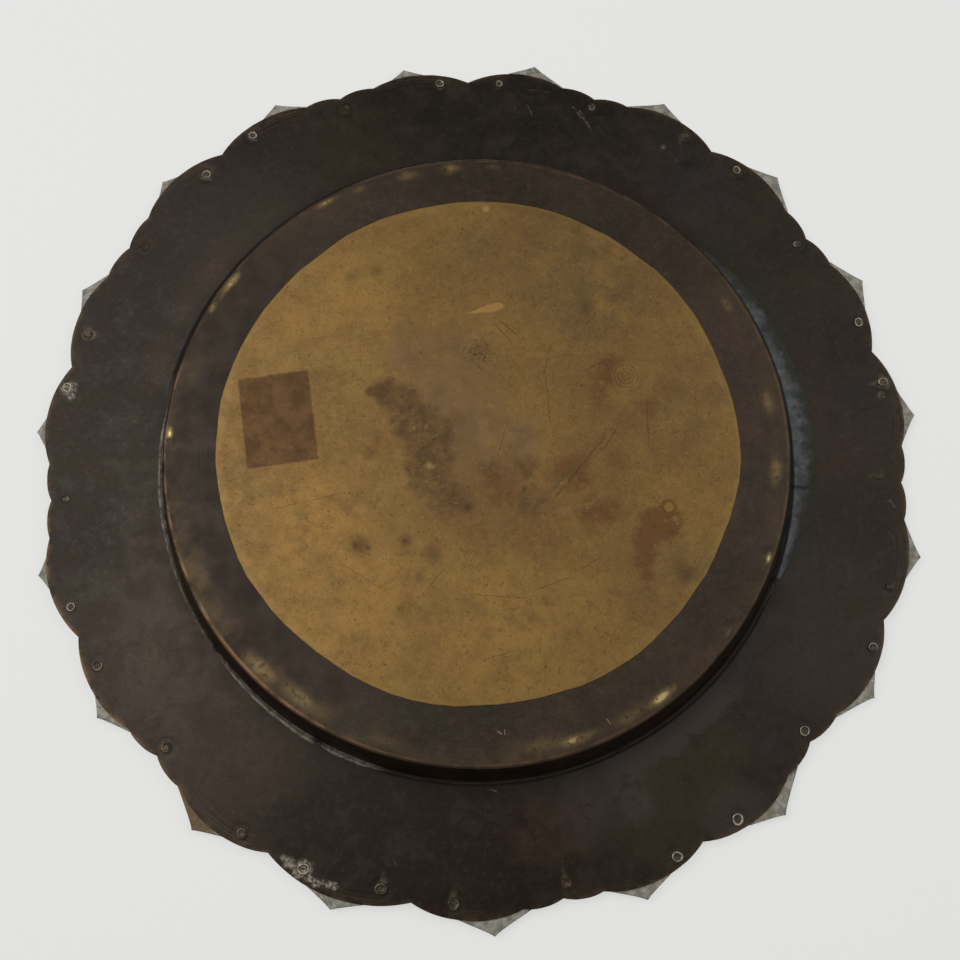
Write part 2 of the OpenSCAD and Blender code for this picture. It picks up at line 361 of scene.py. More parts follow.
    def drop(self, x, y, half, width, tilt):
        """A tear-shaped mark, round at the +X end of its own axis."""
        d = self.v("SUBTRACT", self.fine, (x, y, 0.0))
        ca, sa = math.cos(math.radians(tilt)), math.sin(math.radians(tilt))
        u = self.v("DOT_PRODUCT", d, (-ca / half, -sa / half, 0), out=1)
        w = self.f("ABSOLUTE", self.v("DOT_PRODUCT", d, (sa, -ca, 0), out=1))
        lim = self.f("MULTIPLY", self.f("POWER", self.f("SUBTRACT", 1.0, self.f("MULTIPLY", u, u), clamp=True), 0.34), self.span(u, -1.0, 0.7, 0.12 * width, width, "LINEAR"))
        return self.span(self.f("SUBTRACT", lim, w), -0.15, 0.35)

    def scratch(self, x0, y0, x1, y1, width):
        """1 along a thin line between two points in mm."""
        dx, dy = x1 - x0, y1 - y0
        length = math.hypot(dx, dy)
        dx, dy = dx / length, dy / length
        d = self.v("SUBTRACT", self.fine, (x0, y0, 0.0))
        across = self.f("ABSOLUTE", self.v("DOT_PRODUCT", d, (-dy, dx, 0), out=1))
        along = self.f("ABSOLUTE", self.f("SUBTRACT", self.v("DOT_PRODUCT", d, (dx / length, dy / length, 0), out=1), 0.5))
        return self.mul(self.span(across, width, width * 0.25), self.span(along, 0.54, 0.38))

    def angle(self):
        """Angle a in degrees, 0..360, from +Y towards -X."""
        at = self.f("ARCTAN2", self.f("MULTIPLY", self.x, -1.0), self.y)
        deg = self.f("MULTIPLY", at, 57.29578)
        return self.f("FLOORED_MODULO", self.f("ADD", deg, 360.0), 360.0)

    def arc_mask(self, a0, a1, soft=4.0):
        a = self.angle_out
        return self.mul(self.span(a, a0 - soft, a0 + soft), self.span(a, a1 + soft, a1 - soft))

    def bump(self, height, dist=0.1, strength=1.0, normal=None):
        """height in mm times dist."""
        node = self.n("ShaderNodeBump")
        node.inputs["Strength"].default_value = strength
        node.inputs["Distance"].default_value = dist * MM
        self.link(height, node.inputs["Height"])
        if normal is not None:
            self.link(normal, node.inputs["Normal"])
        return node.outputs[0]

    def attr(self, name):
        node = self.n("ShaderNodeAttribute", attribute_name=name)
        return node.outputs["Fac"]

    def finish(self, color, metallic, rough, normal=None, **more):
        self.link(color, self.b.inputs["Base Color"])
        self.link(metallic, self.b.inputs["Metallic"])
        self.link(rough, self.b.inputs["Roughness"])
        if normal is not None:
            self.link(normal, self.b.inputs["Normal"])
        for k, val in more.items():
            self.link(val, self.b.inputs[k])
        return self.m


def copper_material():
    m = Mat("copper_patina")
    m.angle_out = m.angle()
    m.warp_field(11.0, 9.0, 2.6, 2.2, seed=1)
    base = m.mix(m.span(m.noise(60, 3, 0.5, seed=1), 0.36, 0.64), lin("#2c241c"), lin("#362c23"))
    # broad areas: reddish at the bottom, olive and purplish on the right, paler at the lower left
    red = m.top(m.near(0, -195, 75, 50), m.near(60, 175, 40, 40, 0.6))
    base = m.mix(m.mul(red, 0.8), base, lin("#2f2118"))
    olive = m.mul(m.top(m.near(-90, -165, 45, 35), m.near(-150, 120, 60, 40), m.near(-70, 190, 40, 30, 0.7)), m.span(m.noise(20, 4, 0.6, seed=4, distort=0.3), 0.36, 0.6))
    base = m.mix(m.mul(olive, 0.75), base, lin("#2f2b1f"))
    purple = m.mul(m.top(m.near(-170, -95, 45, 35), m.near(-138, -152, 14, 8), m.near(-195, 40, 30, 30), m.near(150, 130, 40, 40, 0.8), m.near(-120, 150, 30, 26)), m.span(m.noise(26, 4, 0.6, seed=3, distort=0.3), 0.34, 0.6))
    base = m.mix(m.mul(purple, 0.75), base, lin("#393335"))
    pale = m.top(m.near(150, -105, 42, 34), m.near(122, -156, 30, 22, 0.8), m.near(196, -10, 12, 12, 0.6), m.near(128, 118, 36, 26, 0.8), m.near(-70, -160, 34, 16, 0.6), m.near(-176, -96, 34, 24, 0.4))
    base = m.mix(m.mul(pale, 0.8), base, lin("#453b31"))
    dark = m.top(m.near(-10, 206, 70, 30), m.near(-195, 48, 34, 28, 0.7), m.near(192, -34, 16, 20, 0.75), m.near(-70, 192, 40, 26, 0.5))
    base = m.mix(m.mul(dark, 0.62), base, lin("#1d1812"))
    base = m.mix(m.mul(m.arc_mask(256, 322, 18), m.span(m.r, 168, 192), 0.62), base, lin("#211b16"))
    # patches with a clear border, where the skin changes colour
    deep = m.top(m.near(20, -192, 36, 5), m.near(74, -184, 24, 5), m.near(58, -172, 18, 5), m.near(54, -203, 18, 4), m.near(-8, -178, 14, 5), m.near(10, -172, 16, 5, 0.8), m.near(-190, 62, 16, 4, 0.5), m.near(186, 34, 10, 4, 0.4))
    base = m.mix(m.mul(deep, 0.72), base, lin("#261b14"))
    rosy = m.top(m.near(136, 104, 13, 7, 0.8), m.near(158, 84, 9, 7, 0.6), m.near(-176, 10, 22, 9, 0.5), m.near(-152, 132, 10, 6, 0.4), m.near(160, 52, 14, 8, 0.5), m.near(-30, -184, 18, 9, 0.6))
    rosy = m.mul(rosy, m.span(m.noise(7, 5, 0.62, seed=81, distort=0.3), 0.40, 0.54))
    base = m.mix(m.mul(rosy, 0.62), base, lin("#4a3228"))
    moss = m.top(m.near(-98, -166, 22, 5), m.near(-118, -152, 14, 5), m.near(-86, -182, 14, 6, 0.8), m.near(-150, 60, 12, 8, 0.5), m.near(-120, 128, 16, 8, 0.5), m.near(60, 178, 26, 10, 0.5))
    moss = m.mul(moss, m.span(m.noise(12, 5, 0.64, seed=82, distort=0.3), 0.36, 0.46))
    base = m.mix(m.mul(moss, 0.72), base, lin("#3c321e"))
    # cloudy stains, a little lighter or darker, at two sizes
    c1 = m.noise(15, 5, 0.62, seed=5, distort=0.25)
    base = m.mix(m.mul(m.span(c1, 0.51, 0.66), 0.40), base, lin("#453a2f"))
    base = m.mix(m.mul(m.span(c1, 0.48, 0.34), 0.42), base, lin("#201a14"))
    fine = m.noise(3.4, 5, 0.70, seed=6)
    base = m.mix(m.mul(m.span(fine, 0.51, 0.66), 0.26), base, lin("#4d4237"))
    base = m.mix(m.mul(m.span(fine, 0.47, 0.34), 0.26), base, lin("#201a14"))
    grain = m.noise(1.0, 3, 0.72, seed=15)
    base = m.mix(m.mul(m.span(grain, 0.54, 0.66), 0.40), base, lin("#1b1611"))
    base = m.mix(m.mul(m.span(grain, 0.44, 0.33), 0.30), base, lin("#574b3f"))
    # water marks: pale violet tide along the drum at the lower right
    ragged = m.noise(9, 5, 0.64, seed=16)
    tide = m.top(m.mul(m.span(m.f("MULTIPLY_ADD", ragged, -16.0, m.r), 170, 166), m.arc_mask(133, 158, 3)), m.near(-74, -170, 11, 5), m.near(-124, -176, 15, 6, 0.8), m.near(-52, -176, 12, 8, 0.6))
    tide = m.mul(tide, m.span(ragged, 0.36, 0.44))
    base = m.mix(m.mul(tide, 0.62), base, lin("#4d4443"))
    # blue-grey bloom left by the soldering flux round the drum
    bloom = m.mul(m.span(m.r, 176, 163), m.arc_mask(112, 172, 12), m.span(m.noise(15, 4, 0.6, seed=7), 0.40, 0.6))
    base = m.mix(m.mul(bloom, 0.6), base, lin("#444241"))
    bloom2 = m.mul(m.span(m.r, 184, 168), m.arc_mask(46, 112, 14), m.span(m.noise(18, 4, 0.6, seed=8), 0.36, 0.6))
    base = m.mix(m.mul(bloom2, 0.55), base, lin("#30332d"))
    # painted shadow: a dark line in the joint round the drum, wider on the +Y side and left out at the lower left
    reach = m.f("MULTIPLY_ADD", m.f("MAXIMUM", m.f("DIVIDE", m.y, m.r), 0.0), 5.6, 163.4)
    joint_shadow = m.span(m.f("SUBTRACT", m.r, reach), 0.7, -0.5)
    joint_shadow = m.mul(joint_shadow, m.inv(m.arc_mask(197, 284, 3)))
    base = m.mix(m.mul(joint_shadow, 0.92), base, lin("#0e0a07"))
    # painted shade: the rim a little darker within 9 mm of that line
    base = m.mix(m.mul(m.span(m.f("SUBTRACT", m.r, reach), 9.0, 0.0), 0.35), base, lin("#1d1711"))
    # bright worn copper line on the very edge, and rubbed high spots
    edge = m.attr("edge")
    worn = m.mul(edge, m.span(m.noise(9, 4, 0.65, seed=9), 0.40, 0.58))
    base = m.mix(m.mul(worn, 0.8), base, m.mix(m.arc_mask(222, 262, 8), lin("#7c6146"), lin("#a87a50")))
    base = m.mix(m.mul(m.attr("groove"), m.span(m.noise(7, 4, 0.6, seed=19), 0.34, 0.56), 0.55), base, lin("#5b4c3e"))
    smear = m.mul(m.attr("smear"), m.span(m.noise(2.4, 4, 0.65, seed=17), 0.32, 0.56))
    base = m.mix(m.mul(smear, 0.65), base, lin("#6e6350"))
    # small pale scratches, specks and a crusty deposit
    marks = m.top(
        m.scratch(-53.4, 202, -58.6, 194, 0.7), m.scratch(-28.5, 202.5, -31, 196, 0.5), m.scratch(-57, 199.5, -64, 186.5, 0.8),
        m.near(-103, 176.8, 1.3, 0.6), m.near(-110.3, 168.3, 0.9, 0.5),
        m.near(-211.5, 33.8, 1.9, 0.8, 0.6), m.mul(m.scratch(-211, -22, -213.5, -27, 0.6), 0.6), m.mul(m.scratch(-209, -38, -212, -43, 0.5), 0.6),
        m.scratch(-6, -164.5, -9.5, -166, 0.45))
    broken = m.span(m.noise(1.5, 3, 0.7, seed=88), 0.42, 0.54)
    base = m.mix(m.mul(marks, broken, 0.8), base, lin("#7a7167"))
    disc = m.top(m.near(-146, 33, 3.2, 1.2, 0.7), m.near(-148, 26, 2.2, 1.2, 0.5))
    base = m.mix(m.mul(disc, 0.5), base, lin("#4a4230"))
    tick = m.mul(m.top(m.mul(m.scratch(40, -196, 37.5, -201, 0.3), 0.6), m.scratch(-28, 212, -42, 210.4, 0.3), m.scratch(-21, 199, -23, 205, 0.26)), 0.5)
    base = m.mix(m.mul(tick, broken), base, lin("#8a6f52"))
    crust = m.mul(m.attr("crust"), m.span(m.noise(1.6, 5, 0.72, seed=10), 0.40, 0.56))
    base = m.mix(crust, base, m.mix(m.span(m.noise(1.1, 3, 0.6, seed=18), 0.4, 0.6), lin("#8d8678"), lin("#bdb6aa")))
    metal = m.f("SUBTRACT", 0.70, m.mul(crust, 0.65))
    rough = m.span(c1, 0.3, 0.7, 0.38, 0.54)
    rough = m.f("ADD", rough, m.mul(crust, 0.3))
    rough = m.f("ADD", rough, m.mul(joint_shadow, 0.2))
    h = m.f("ADD", m.mul(m.noise(5, 4, 0.6, seed=11), 0.5), m.mul(m.noise(0.9, 3, 0.6, seed=12), 0.10))
    h = m.f("ADD", h, m.mul(m.attr("crust"), 1.0))
    return m.finish(m.tint(base, 0.705, 0.67, 0.60), metal, rough, m.bump(h, 0.12))


def drum_material():
    m = Mat("brass_patina")
    m.angle_out = m.angle()
    m.warp_field(9.0, 6.0, 1.8, 1.4, seed=2)
    inner = m.attr("inner")
    base = m.mix(m.span(m.noise(44, 4, 0.55, seed=21), 0.36, 0.66), lin("#322a24"), lin("#3d332a"))
    base = m.mix(m.mul(m.span(m.noise(20, 4, 0.6, seed=22, distort=0.3), 0.52, 0.72), 0.6), base, lin("#35332a"))
    base = m.mix(m.mul(m.span(m.noise(24, 4, 0.6, seed=23, distort=0.3), 0.50, 0.70), 0.65), base, lin("#3c2e2b"))
    base = m.mix(m.mul(m.top(m.near(30, -136, 42, 18), m.near(-10, 140, 30, 14)), 0.45), base, lin("#29251e"))
    skin = m.noise(4.2, 5, 0.68, seed=31)
    base = m.mix(m.mul(m.span(skin, 0.51, 0.64), 0.24), base, lin("#4e4337"))
    base = m.mix(m.mul(m.span(skin, 0.47, 0.36), 0.24), base, lin("#262019"))
    grain = m.noise(1.1, 3, 0.72, seed=32)
    base = m.mix(m.mul(m.span(grain, 0.54, 0.66), 0.38), base, lin("#231d17"))
    base = m.mix(m.mul(m.span(grain, 0.44, 0.33), 0.26), base, lin("#5a4d3f"))
    base = m.mix(m.mul(m.arc_mask(212, 316, 20), 0.95), base, lin("#241d17"))
    # fine lines of the lathe
    ringv = m.comb(m.r, 0.0, 0.0)
    lines = m.noise(0.9, 3, 0.7, vec=ringv)
    lines2 = m.noise(5.5, 2, 0.6, vec=ringv, seed=2.0)
    base = m.mix(m.mul(m.span(lines, 0.54, 0.8), m.span(m.noise(22, 2, 0.5, seed=33), 0.40, 0.58), 0.26), base, lin("#574a38"))
    # brassy outer band: rubbed brass with a painted sheen, strongest at the lower left
    rub_and_sheen = m.mul(m.span(m.f("MULTIPLY_ADD", m.noise(12, 5, 0.62, seed=36), 22.0, m.r), 150, 163), m.span(m.z, 6.5, 3.0))
    low = m.top(m.mul(m.arc_mask(196, 262, 16), 0.85), m.mul(m.arc_mask(150, 200, 14), 0.6), m.mul(m.arc_mask(96, 150, 14), 0.45), m.mul(m.arc_mask(262, 300, 16), 0.35), 0.22)
    rub_and_sheen = m.mul(rub_and_sheen, low, m.span(m.noise(13, 4, 0.6, seed=24), 0.32, 0.6))
    base = m.mix(m.mul(rub_and_sheen, 0.6), base, lin("#544630"))
    # painted highlight: a thin warm line along the shoulder, warmer on the left
    painted_shoulder_highlight = m.mul(m.span(m.r, 152.2, 153.2), m.span(m.z, 2.2, 1.1), m.span(m.noise(16, 4, 0.65, seed=26), 0.40, 0.60))
    warm = m.mul(m.arc_mask(205, 285, 12), 1.0)
    base = m.mix(m.mul(painted_shoulder_highlight, 0.6), base, m.mix(warm, lin("#5c4838"), lin("#80614a")))
    # bright worn patches on the shoulder
    patch = m.attr("patch")
    core = m.mul(patch, m.span(m.noise(2.6, 4, 0.62, seed=25), 0.26, 0.50))
    base = m.mix(m.mul(m.span(core, 0.0, 0.7), 0.85), base, lin("#6f6040"))
    base = m.mix(m.mul(m.span(core, 0.6, 1.0), 0.9), base, lin("#c3b184"))
    # the wall below the shoulder is darker all round
    wall = m.mul(m.span(m.z, 1.2, 2.2), m.inv(inner))
    base = m.mix(wall, base, m.mix(m.span(m.noise(14, 4, 0.6, seed=27), 0.35, 0.65), lin("#241910"), lin("#3a2a1b")))
    # small nicks
    nick = m.top(m.scratch(-9, -137.5, -11.5, -139, 0.5), m.scratch(-12.5, -136.6, -12.7, -139.6, 0.35), m.scratch(-60, -132, -62, -135, 0.3))
    base = m.mix(m.mul(nick, 0.6), base, lin("#93897a"))
    # inside of the well: rubbed brass with grime low down
    well = m.mix(m.span(m.noise(16, 5, 0.6, seed=28), 0.35, 0.65), lin("#6b4f25"), lin("#94713a"))
    grime = m.span(m.z, 23, 15)
    well = m.mix(m.mul(grime, 0.7), well, lin("#33261a"))
    well = m.mix(m.mul(m.span(lines, 0.5, 0.8), 0.2), well, lin("#c39d5a"))
    base = m.mix(inner, base, well)
    rough = m.span(m.noise(12, 5, 0.6, seed=29), 0.3, 0.7, 0.38, 0.52)
    rough = m.f("SUBTRACT", rough, m.mul(core, 0.08))
    h = m.f("ADD", m.mul(lines, 0.10), m.mul(lines2, 0.12))
    h = m.f("ADD", h, m.mul(m.noise(7, 4, 0.6, seed=30), 0.6))
    return m.finish(m.tint(base, 1.01, 0.95, 0.81), 0.76, rough, m.bump(h, 0.07))


def disc_material():
    m = Mat("golden_brass")
    m.angle_out = 0.0
    m.warp_field(10.0, 9.0, 2.4, 2.6, seed=3)
    base = m.mix(m.span(m.noise(46, 4, 0.55, seed=41), 0.38, 0.64), lin("#715732"), lin("#7d6237"))
    # greenish and dull areas, then the brighter ones
    olive = m.top(m.near(0, 104, 14, 12, 0.8), m.near(-60, 92, 40, 20), m.near(-98, -72, 22, 18), m.near(-100, 20, 22, 26, 0.7), m.near(88, 40, 16, 14, 0.7), m.near(110, -20, 12, 14, 0.8))
    base = m.mix(m.mul(olive, m.span(m.noise(16, 4, 0.6, seed=42), 0.32, 0.6), 0.85), base, lin("#645133"))
    gold = m.top(m.near(76, -38, 24, 20), m.near(56, -78, 30, 22), m.near(-10, -96, 34, 18), m.near(62, 78, 24, 16, 0.8), m.near(90, 62, 12, 12, 0.8), m.near(-50, -84, 20, 14, 0.6))
    base = m.mix(m.mul(gold, m.span(m.noise(13, 4, 0.6, seed=43), 0.30, 0.58), 0.8), base, lin("#8b6b3a"))
    # mottling at three sizes
    c1 = m.noise(8.5, 6, 0.66, seed=44, distort=0.2)
    base = m.mix(m.mul(m.span(c1, 0.50, 0.66), 0.20), base, lin("#634a2b"))
    base = m.mix(m.mul(m.span(c1, 0.48, 0.34), 0.24), base, lin("#8b6c3d"))
    c2 = m.noise(3.1, 5, 0.72, seed=45)
    base = m.mix(m.mul(m.span(c2, 0.53, 0.66), 0.24), base, lin("#5b4327"))
    base = m.mix(m.mul(m.span(c2, 0.46, 0.34), 0.22), base, lin("#957648"))
    grain = m.noise(0.95, 3, 0.7, seed=58)
    base = m.mix(m.mul(m.span(grain, 0.53, 0.66), 0.30), base, lin("#573f24"))
    base = m.mix(m.mul(m.span(grain, 0.44, 0.32), 0.26), base, lin("#9a7c4c"))
    # short curved wipe marks, thin and brown
    wipe = m.mul(m.span(m.f("ABSOLUTE", m.f("SUBTRACT", m.noise(12, 4, 0.6, seed=83), 0.5)), 0.013, 0.003), m.span(m.noise(4.5, 3, 0.6, seed=84), 0.50, 0.57))
    wipe2 = m.mul(m.span(m.f("ABSOLUTE", m.f("SUBTRACT", m.noise(7, 4, 0.62, seed=85), 0.52)), 0.018, 0.005), m.span(m.noise(3.2, 3, 0.6, seed=86), 0.53, 0.59))
    base = m.mix(m.mul(m.top(wipe, wipe2), 0.5), base, lin("#533c21"))
    # grey and pinkish bloom in the middle, where the metal was heated
    grey = m.top(m.near(16, 26, 16, 14), m.near(2, 8, 20, 14), m.near(-20, 2, 12, 10), m.near(33, 50, 11, 8, 0.9), m.near(6, 42, 16, 12, 0.8))
    grey = m.mul(grey, m.span(m.noise(10, 5, 0.64, seed=46), 0.30, 0.56))
    base = m.mix(m.mul(grey, 0.85), base, m.mix(m.span(m.noise(14, 3, 0.6, seed=47), 0.4, 0.62), lin("#68533a"), lin("#765c40")))
    # the brown burnt band below and left of it
    burnt = m.top(m.near(45, 26, 7, 4), m.near(37, 22, 9, 5), m.near(30, 11, 11, 5), m.near(17, 7, 9, 5, 0.85), m.near(25, -3, 12, 5), m.near(24, -14, 11, 5), m.near(13, -26, 9, 5), m.near(-9, -14, 7, 5, 0.85), m.near(-23, -12, 6, 5, 0.7), m.near(-26, -29, 6, 5, 0.75))
    c3 = m.noise(4.6, 6, 0.7, seed=48)
    brown = m.top(m.near(26, 2, 14, 12), m.near(20, -20, 12, 12), m.near(-4, -28, 14, 12, 0.8), m.near(-28, -24, 10, 12, 0.7))
    base = m.mix(m.mul(brown, m.span(c1, 0.34, 0.54), 0.62), base, lin("#665032"))
    burnt = m.mul(burnt, m.span(c3, 0.30, 0.42))
    base = m.mix(m.mul(burnt, 0.85), base, lin("#5f482b"))
    base = m.mix(m.mul(burnt, m.span(m.noise(6.5, 5, 0.7, seed=59), 0.46, 0.55), 0.66), base, lin("#4e3c26"))
    base = m.mix(m.mul(burnt, m.span(c2, 0.53, 0.60), 0.42), base, lin("#3d2e1d"))
    base = m.mix(m.mul(burnt, m.span(c3, 0.57, 0.64), 0.6), base, lin("#745f43"))
    # reddish places, with the tear-shaped run on the right
    red = m.top(m.near(-46, -14, 9, 8), m.near(-58, -34, 8, 7), m.near(-88, -39, 10, 2.5), m.near(-82, -49, 7, 2.5), m.near(-80, -57, 5, 2), m.near(-81, -65, 3, 1.5), m.near(-66, 36, 9, 4, 0.95), m.near(-60, 26, 6, 5, 0.8), m.near(-84, 20, 5, 5, 0.7), m.near(4, -46, 12, 10, 0.35), m.near(-30, -44, 14, 10, 0.4), m.near(-12, -22, 9, 6, 0.7), m.near(-75, 12, 5, 5, 0.6), m.near(-94, 28, 5, 5, 0.6), m.near(50, -3, 5, 5, 0.7), m.near(-70, -8, 5, 6, 0.6))
    red = m.mul(red, m.span(m.noise(6, 5, 0.66, seed=49), 0.34, 0.45))
    base = m.mix(m.mul(red, 0.9), base, lin("#624426"))
    base = m.mix(m.mul(red, m.span(c2, 0.52, 0.62), 0.55), base, lin("#513420"))
    # brown blotches, dark spots with their haloes, pits
    halo = m.top(m.near(57, -50.8, 4, 4), m.near(34.7, -48.4, 2.4, 3), m.near(21, -55, 3.4, 4, 0.8), m.near(-55, 71, 2.6, 3, 0.8), m.near(51, 91, 3, 3, 0.7), m.near(-2, 48, 3.4, 4, 0.5), m.near(5, -32, 2.4, 3), m.near(-100, -64, 4, 5, 0.8), m.near(64, 88, 2, 3, 0.6), m.near(28, -66, 2, 2, 0.6))
    base = m.mix(m.mul(halo, 0.8), base, lin("#503a24"))
    core = m.top(m.near(58.7, -50.4, 0.9, 1.2), m.near(52.4, -51.8, 1.0, 1.3), m.near(34.7, -48.4, 0.6, 0.9), m.near(-0.5, 50.7, 0.6, 0.8), m.near(3.5, 47.5, 0.6, 0.8), m.near(-4, 45, 0.6, 0.8), m.near(4.4, -31.7, 1.0, 1.3), m.near(-22.8, -22.8, 1.0, 1.3), m.near(56, 14, 0.5, 0.7), m.near(-52, 30, 0.5, 0.8))
    base = m.mix(m.mul(core, 0.6), base, lin("#3a2a1c"))
    pits = m.mul(m.span(m.voronoi(6.2, seed=4), 0.13, 0.05), m.span(m.noise(16, 3, 0.6, seed=50), 0.44, 0.58))
    base = m.mix(m.mul(pits, 0.62), base, lin("#43311c"))
    fleck = m.mul(m.span(m.noise(1.5, 4, 0.72, seed=51), 0.64, 0.71), m.span(m.noise(22, 3, 0.6, seed=52), 0.42, 0.6))
    base = m.mix(m.mul(fleck, 0.62), base, lin("#4a371f"))
    soot = m.mul(m.near(0, 47, 8, 5), m.span(m.noise(1.9, 4, 0.7, seed=87), 0.53, 0.60))
    base = m.mix(m.mul(soot, 0.8), base, lin("#40382a"))
    base = m.mix(m.mul(m.top(m.near(48, 27.5, 4, 1.5), m.near(53, 27, 2.5, 1.2), m.near(44, 31, 2, 1.2)), 0.75), base, lin("#4d361f"))
    # where a square paper label sat
    d = m.v("SUBTRACT", m.fine, (98.2, 12.6, 0.0))
    ca, sa = math.cos(math.radians(8.5)), math.sin(math.radians(8.5))
    u = m.f("ABSOLUTE", m.v("DOT_PRODUCT", d, (ca, -sa, 0), out=1))
    w = m.f("ABSOLUTE", m.v("DOT_PRODUCT", d, (sa, ca, 0), out=1))
    label = m.mul(m.span(u, 18.0, 16.8), m.span(w, 23.8, 22.4))
    lab_c = m.mix(m.span(c1, 0.40, 0.62), lin("#5a3f22"), lin("#4c331a"))
    lab_c = m.mix(m.mul(m.span(c3, 0.52, 0.66), 0.45), lab_c, lin("#6c4c2a"))
    lab_c = m.mix(m.mul(m.span(c2, 0.56, 0.68), 0.5), lab_c, lin("#3f2a18"))
    base = m.mix(m.mul(label, 0.88), base, lab_c)
    # scratches, the longest with a dull green smear beside it
    streak = m.mul(m.top(m.scratch(-35, -25, -57, -1, 1.3), m.scratch(-58, 0, -66, 9, 0.8)), m.span(c2, 0.40, 0.52))
    base = m.mix(m.mul(streak, 0.6), base, lin("#574c2f"))
    for x0, y0, x1, y1, wd in [(-36.8, -28.3, -65.5, 7, 0.42), (-62, -3, -69, 8, 0.4), (-11.6, 64.6, -21.6, 55, 0.42), (-8, 63.5, -18, 52, 0.3),
                               (-34, 36, -36.5, 8, 0.22), (-37, 52, -33, 34, 0.22), (22, -10, 10, 14, 0.22), (33, 20, 37, 3, 0.22), (64, -60, 46, -71, 0.26),
                               (24, -72, 16, -62, 0.32), (-24, -76, 4, -74, 0.22), (-66, 44, -50, 36, 0.22), (-84, 24, -84.5, -2, 0.3),
                               (-60, -56, -50, -62, 0.3), (-20, -100, 0, -106, 0.22), (100, -33, 62, -24, 0.2), (-44, -66, -28, -72, 0.26), (-16, 14, -10, -6, 0.22)]:
        base = m.mix(m.mul(m.scratch(x0, y0, x1, y1, wd), 0.72), base, lin("#463420"))
    # fine hairlines in two directions, and a rubbed patch of them lower down
    hv = m.n("ShaderNodeMapping")
    hv.inputs["Rotation"].default_value = (0, 0, math.radians(52))
    hv.inputs["Scale"].default_value = (0.05, 1.6, 1)
    m.link(m.fine, hv.inputs["Vector"])
    hair = m.noise(1.0, 3, 0.7, vec=hv.outputs[0])
    where = m.span(m.noise(26, 3, 0.6, seed=54), 0.42, 0.6)
    base = m.mix(m.mul(m.span(hair, 0.62, 0.74), where, 0.38), base, lin("#543f26"))
    hw = m.n("ShaderNodeMapping")
    hw.inputs["Rotation"].default_value = (0, 0, math.radians(-24))
    hw.inputs["Scale"].default_value = (0.07, 1.3, 1)
    m.link(m.fine, hw.inputs["Vector"])
    hair2 = m.noise(1.0, 3, 0.7, vec=hw.outputs[0])
    rub = m.top(m.near(-16, -86, 18, 14), m.near(-40, -60, 10, 10, 0.6), m.mul(where, 0.35))
    base = m.mix(m.mul(m.span(hair2, 0.60, 0.72), rub, 0.55), base, lin("#a4864f"))
    # pale rubbed fleck near the top, and ring marks
    fl = m.drop(-3.8, 70.2, 9.6, 2.7, -14)
    base = m.mix(m.mul(fl, 0.8), base, lin("#9b7746"))
    small = m.top(m.near(-4.8, 125.8, 1.6, 1.2), m.near(23.2, -11.2, 1.0, 1.6, 0.6), m.near(21.4, -11.6, 0.7, 1.2, 0.5), m.near(31, 8, 0.4, 0.9, 0.4), m.near(25, 9, 0.4, 1.4, 0.35))
    base = m.mix(m.mul(small, 0.7), base, lin("#a08a62"))
    d1 = m.v("LENGTH", m.v("SUBTRACT", m.flat, (-93.0, -31.8, 0.0)), out=1)
    base = m.mix(m.mul(m.span(d1, 4.6, 3.6), 0.6), base, lin("#5f4022"))
    base = m.mix(m.mul(m.span(d1, 2.6, 1.8), 0.7), base, lin("#8a6b3c"))
    d2 = m.v("LENGTH", m.v("SUBTRACT", m.flat, (-74.3, 35.0, 0.0)), out=1)
    ring2 = m.mul(m.span(m.f("ABSOLUTE", m.f("SUBTRACT", m.f("PINGPONG", d2, 2.0), 1.0)), 0.8, 0.3), m.span(d2, 8.0, 6.5))
    base = m.mix(m.mul(ring2, 0.22), base, lin("#96784a"))
    # lighter rim and cut edge round the disc: partly the bright burr, partly painted highlight
    rim = m.attr("rim")
    base = m.mix(m.mul(rim, m.span(m.noise(18, 3, 0.6, seed=57), 0.46, 0.62), 0.30), base, lin("#94794a"))
    base = m.mix(m.mul(m.attr("edge"), 0.3), base, lin("#8c7140"))
    rough = m.span(c1, 0.3, 0.7, 0.49, 0.54)
    rough = m.f("ADD", rough, m.mul(grey, 0.03))
    rough = m.f("ADD", rough, m.mul(label, 0.05))
    h = m.f("ADD", m.mul(m.noise(11, 5, 0.6, seed=55), 0.9), m.mul(m.noise(0.8, 3, 0.65, seed=56), 0.12))
    metal = m.f("SUBTRACT", 0.80, m.mul(label, 0.12))
    return m.finish(m.tint(base, 1.03, 1.015, 0.94), metal, rough, m.bump(h, 0.09))


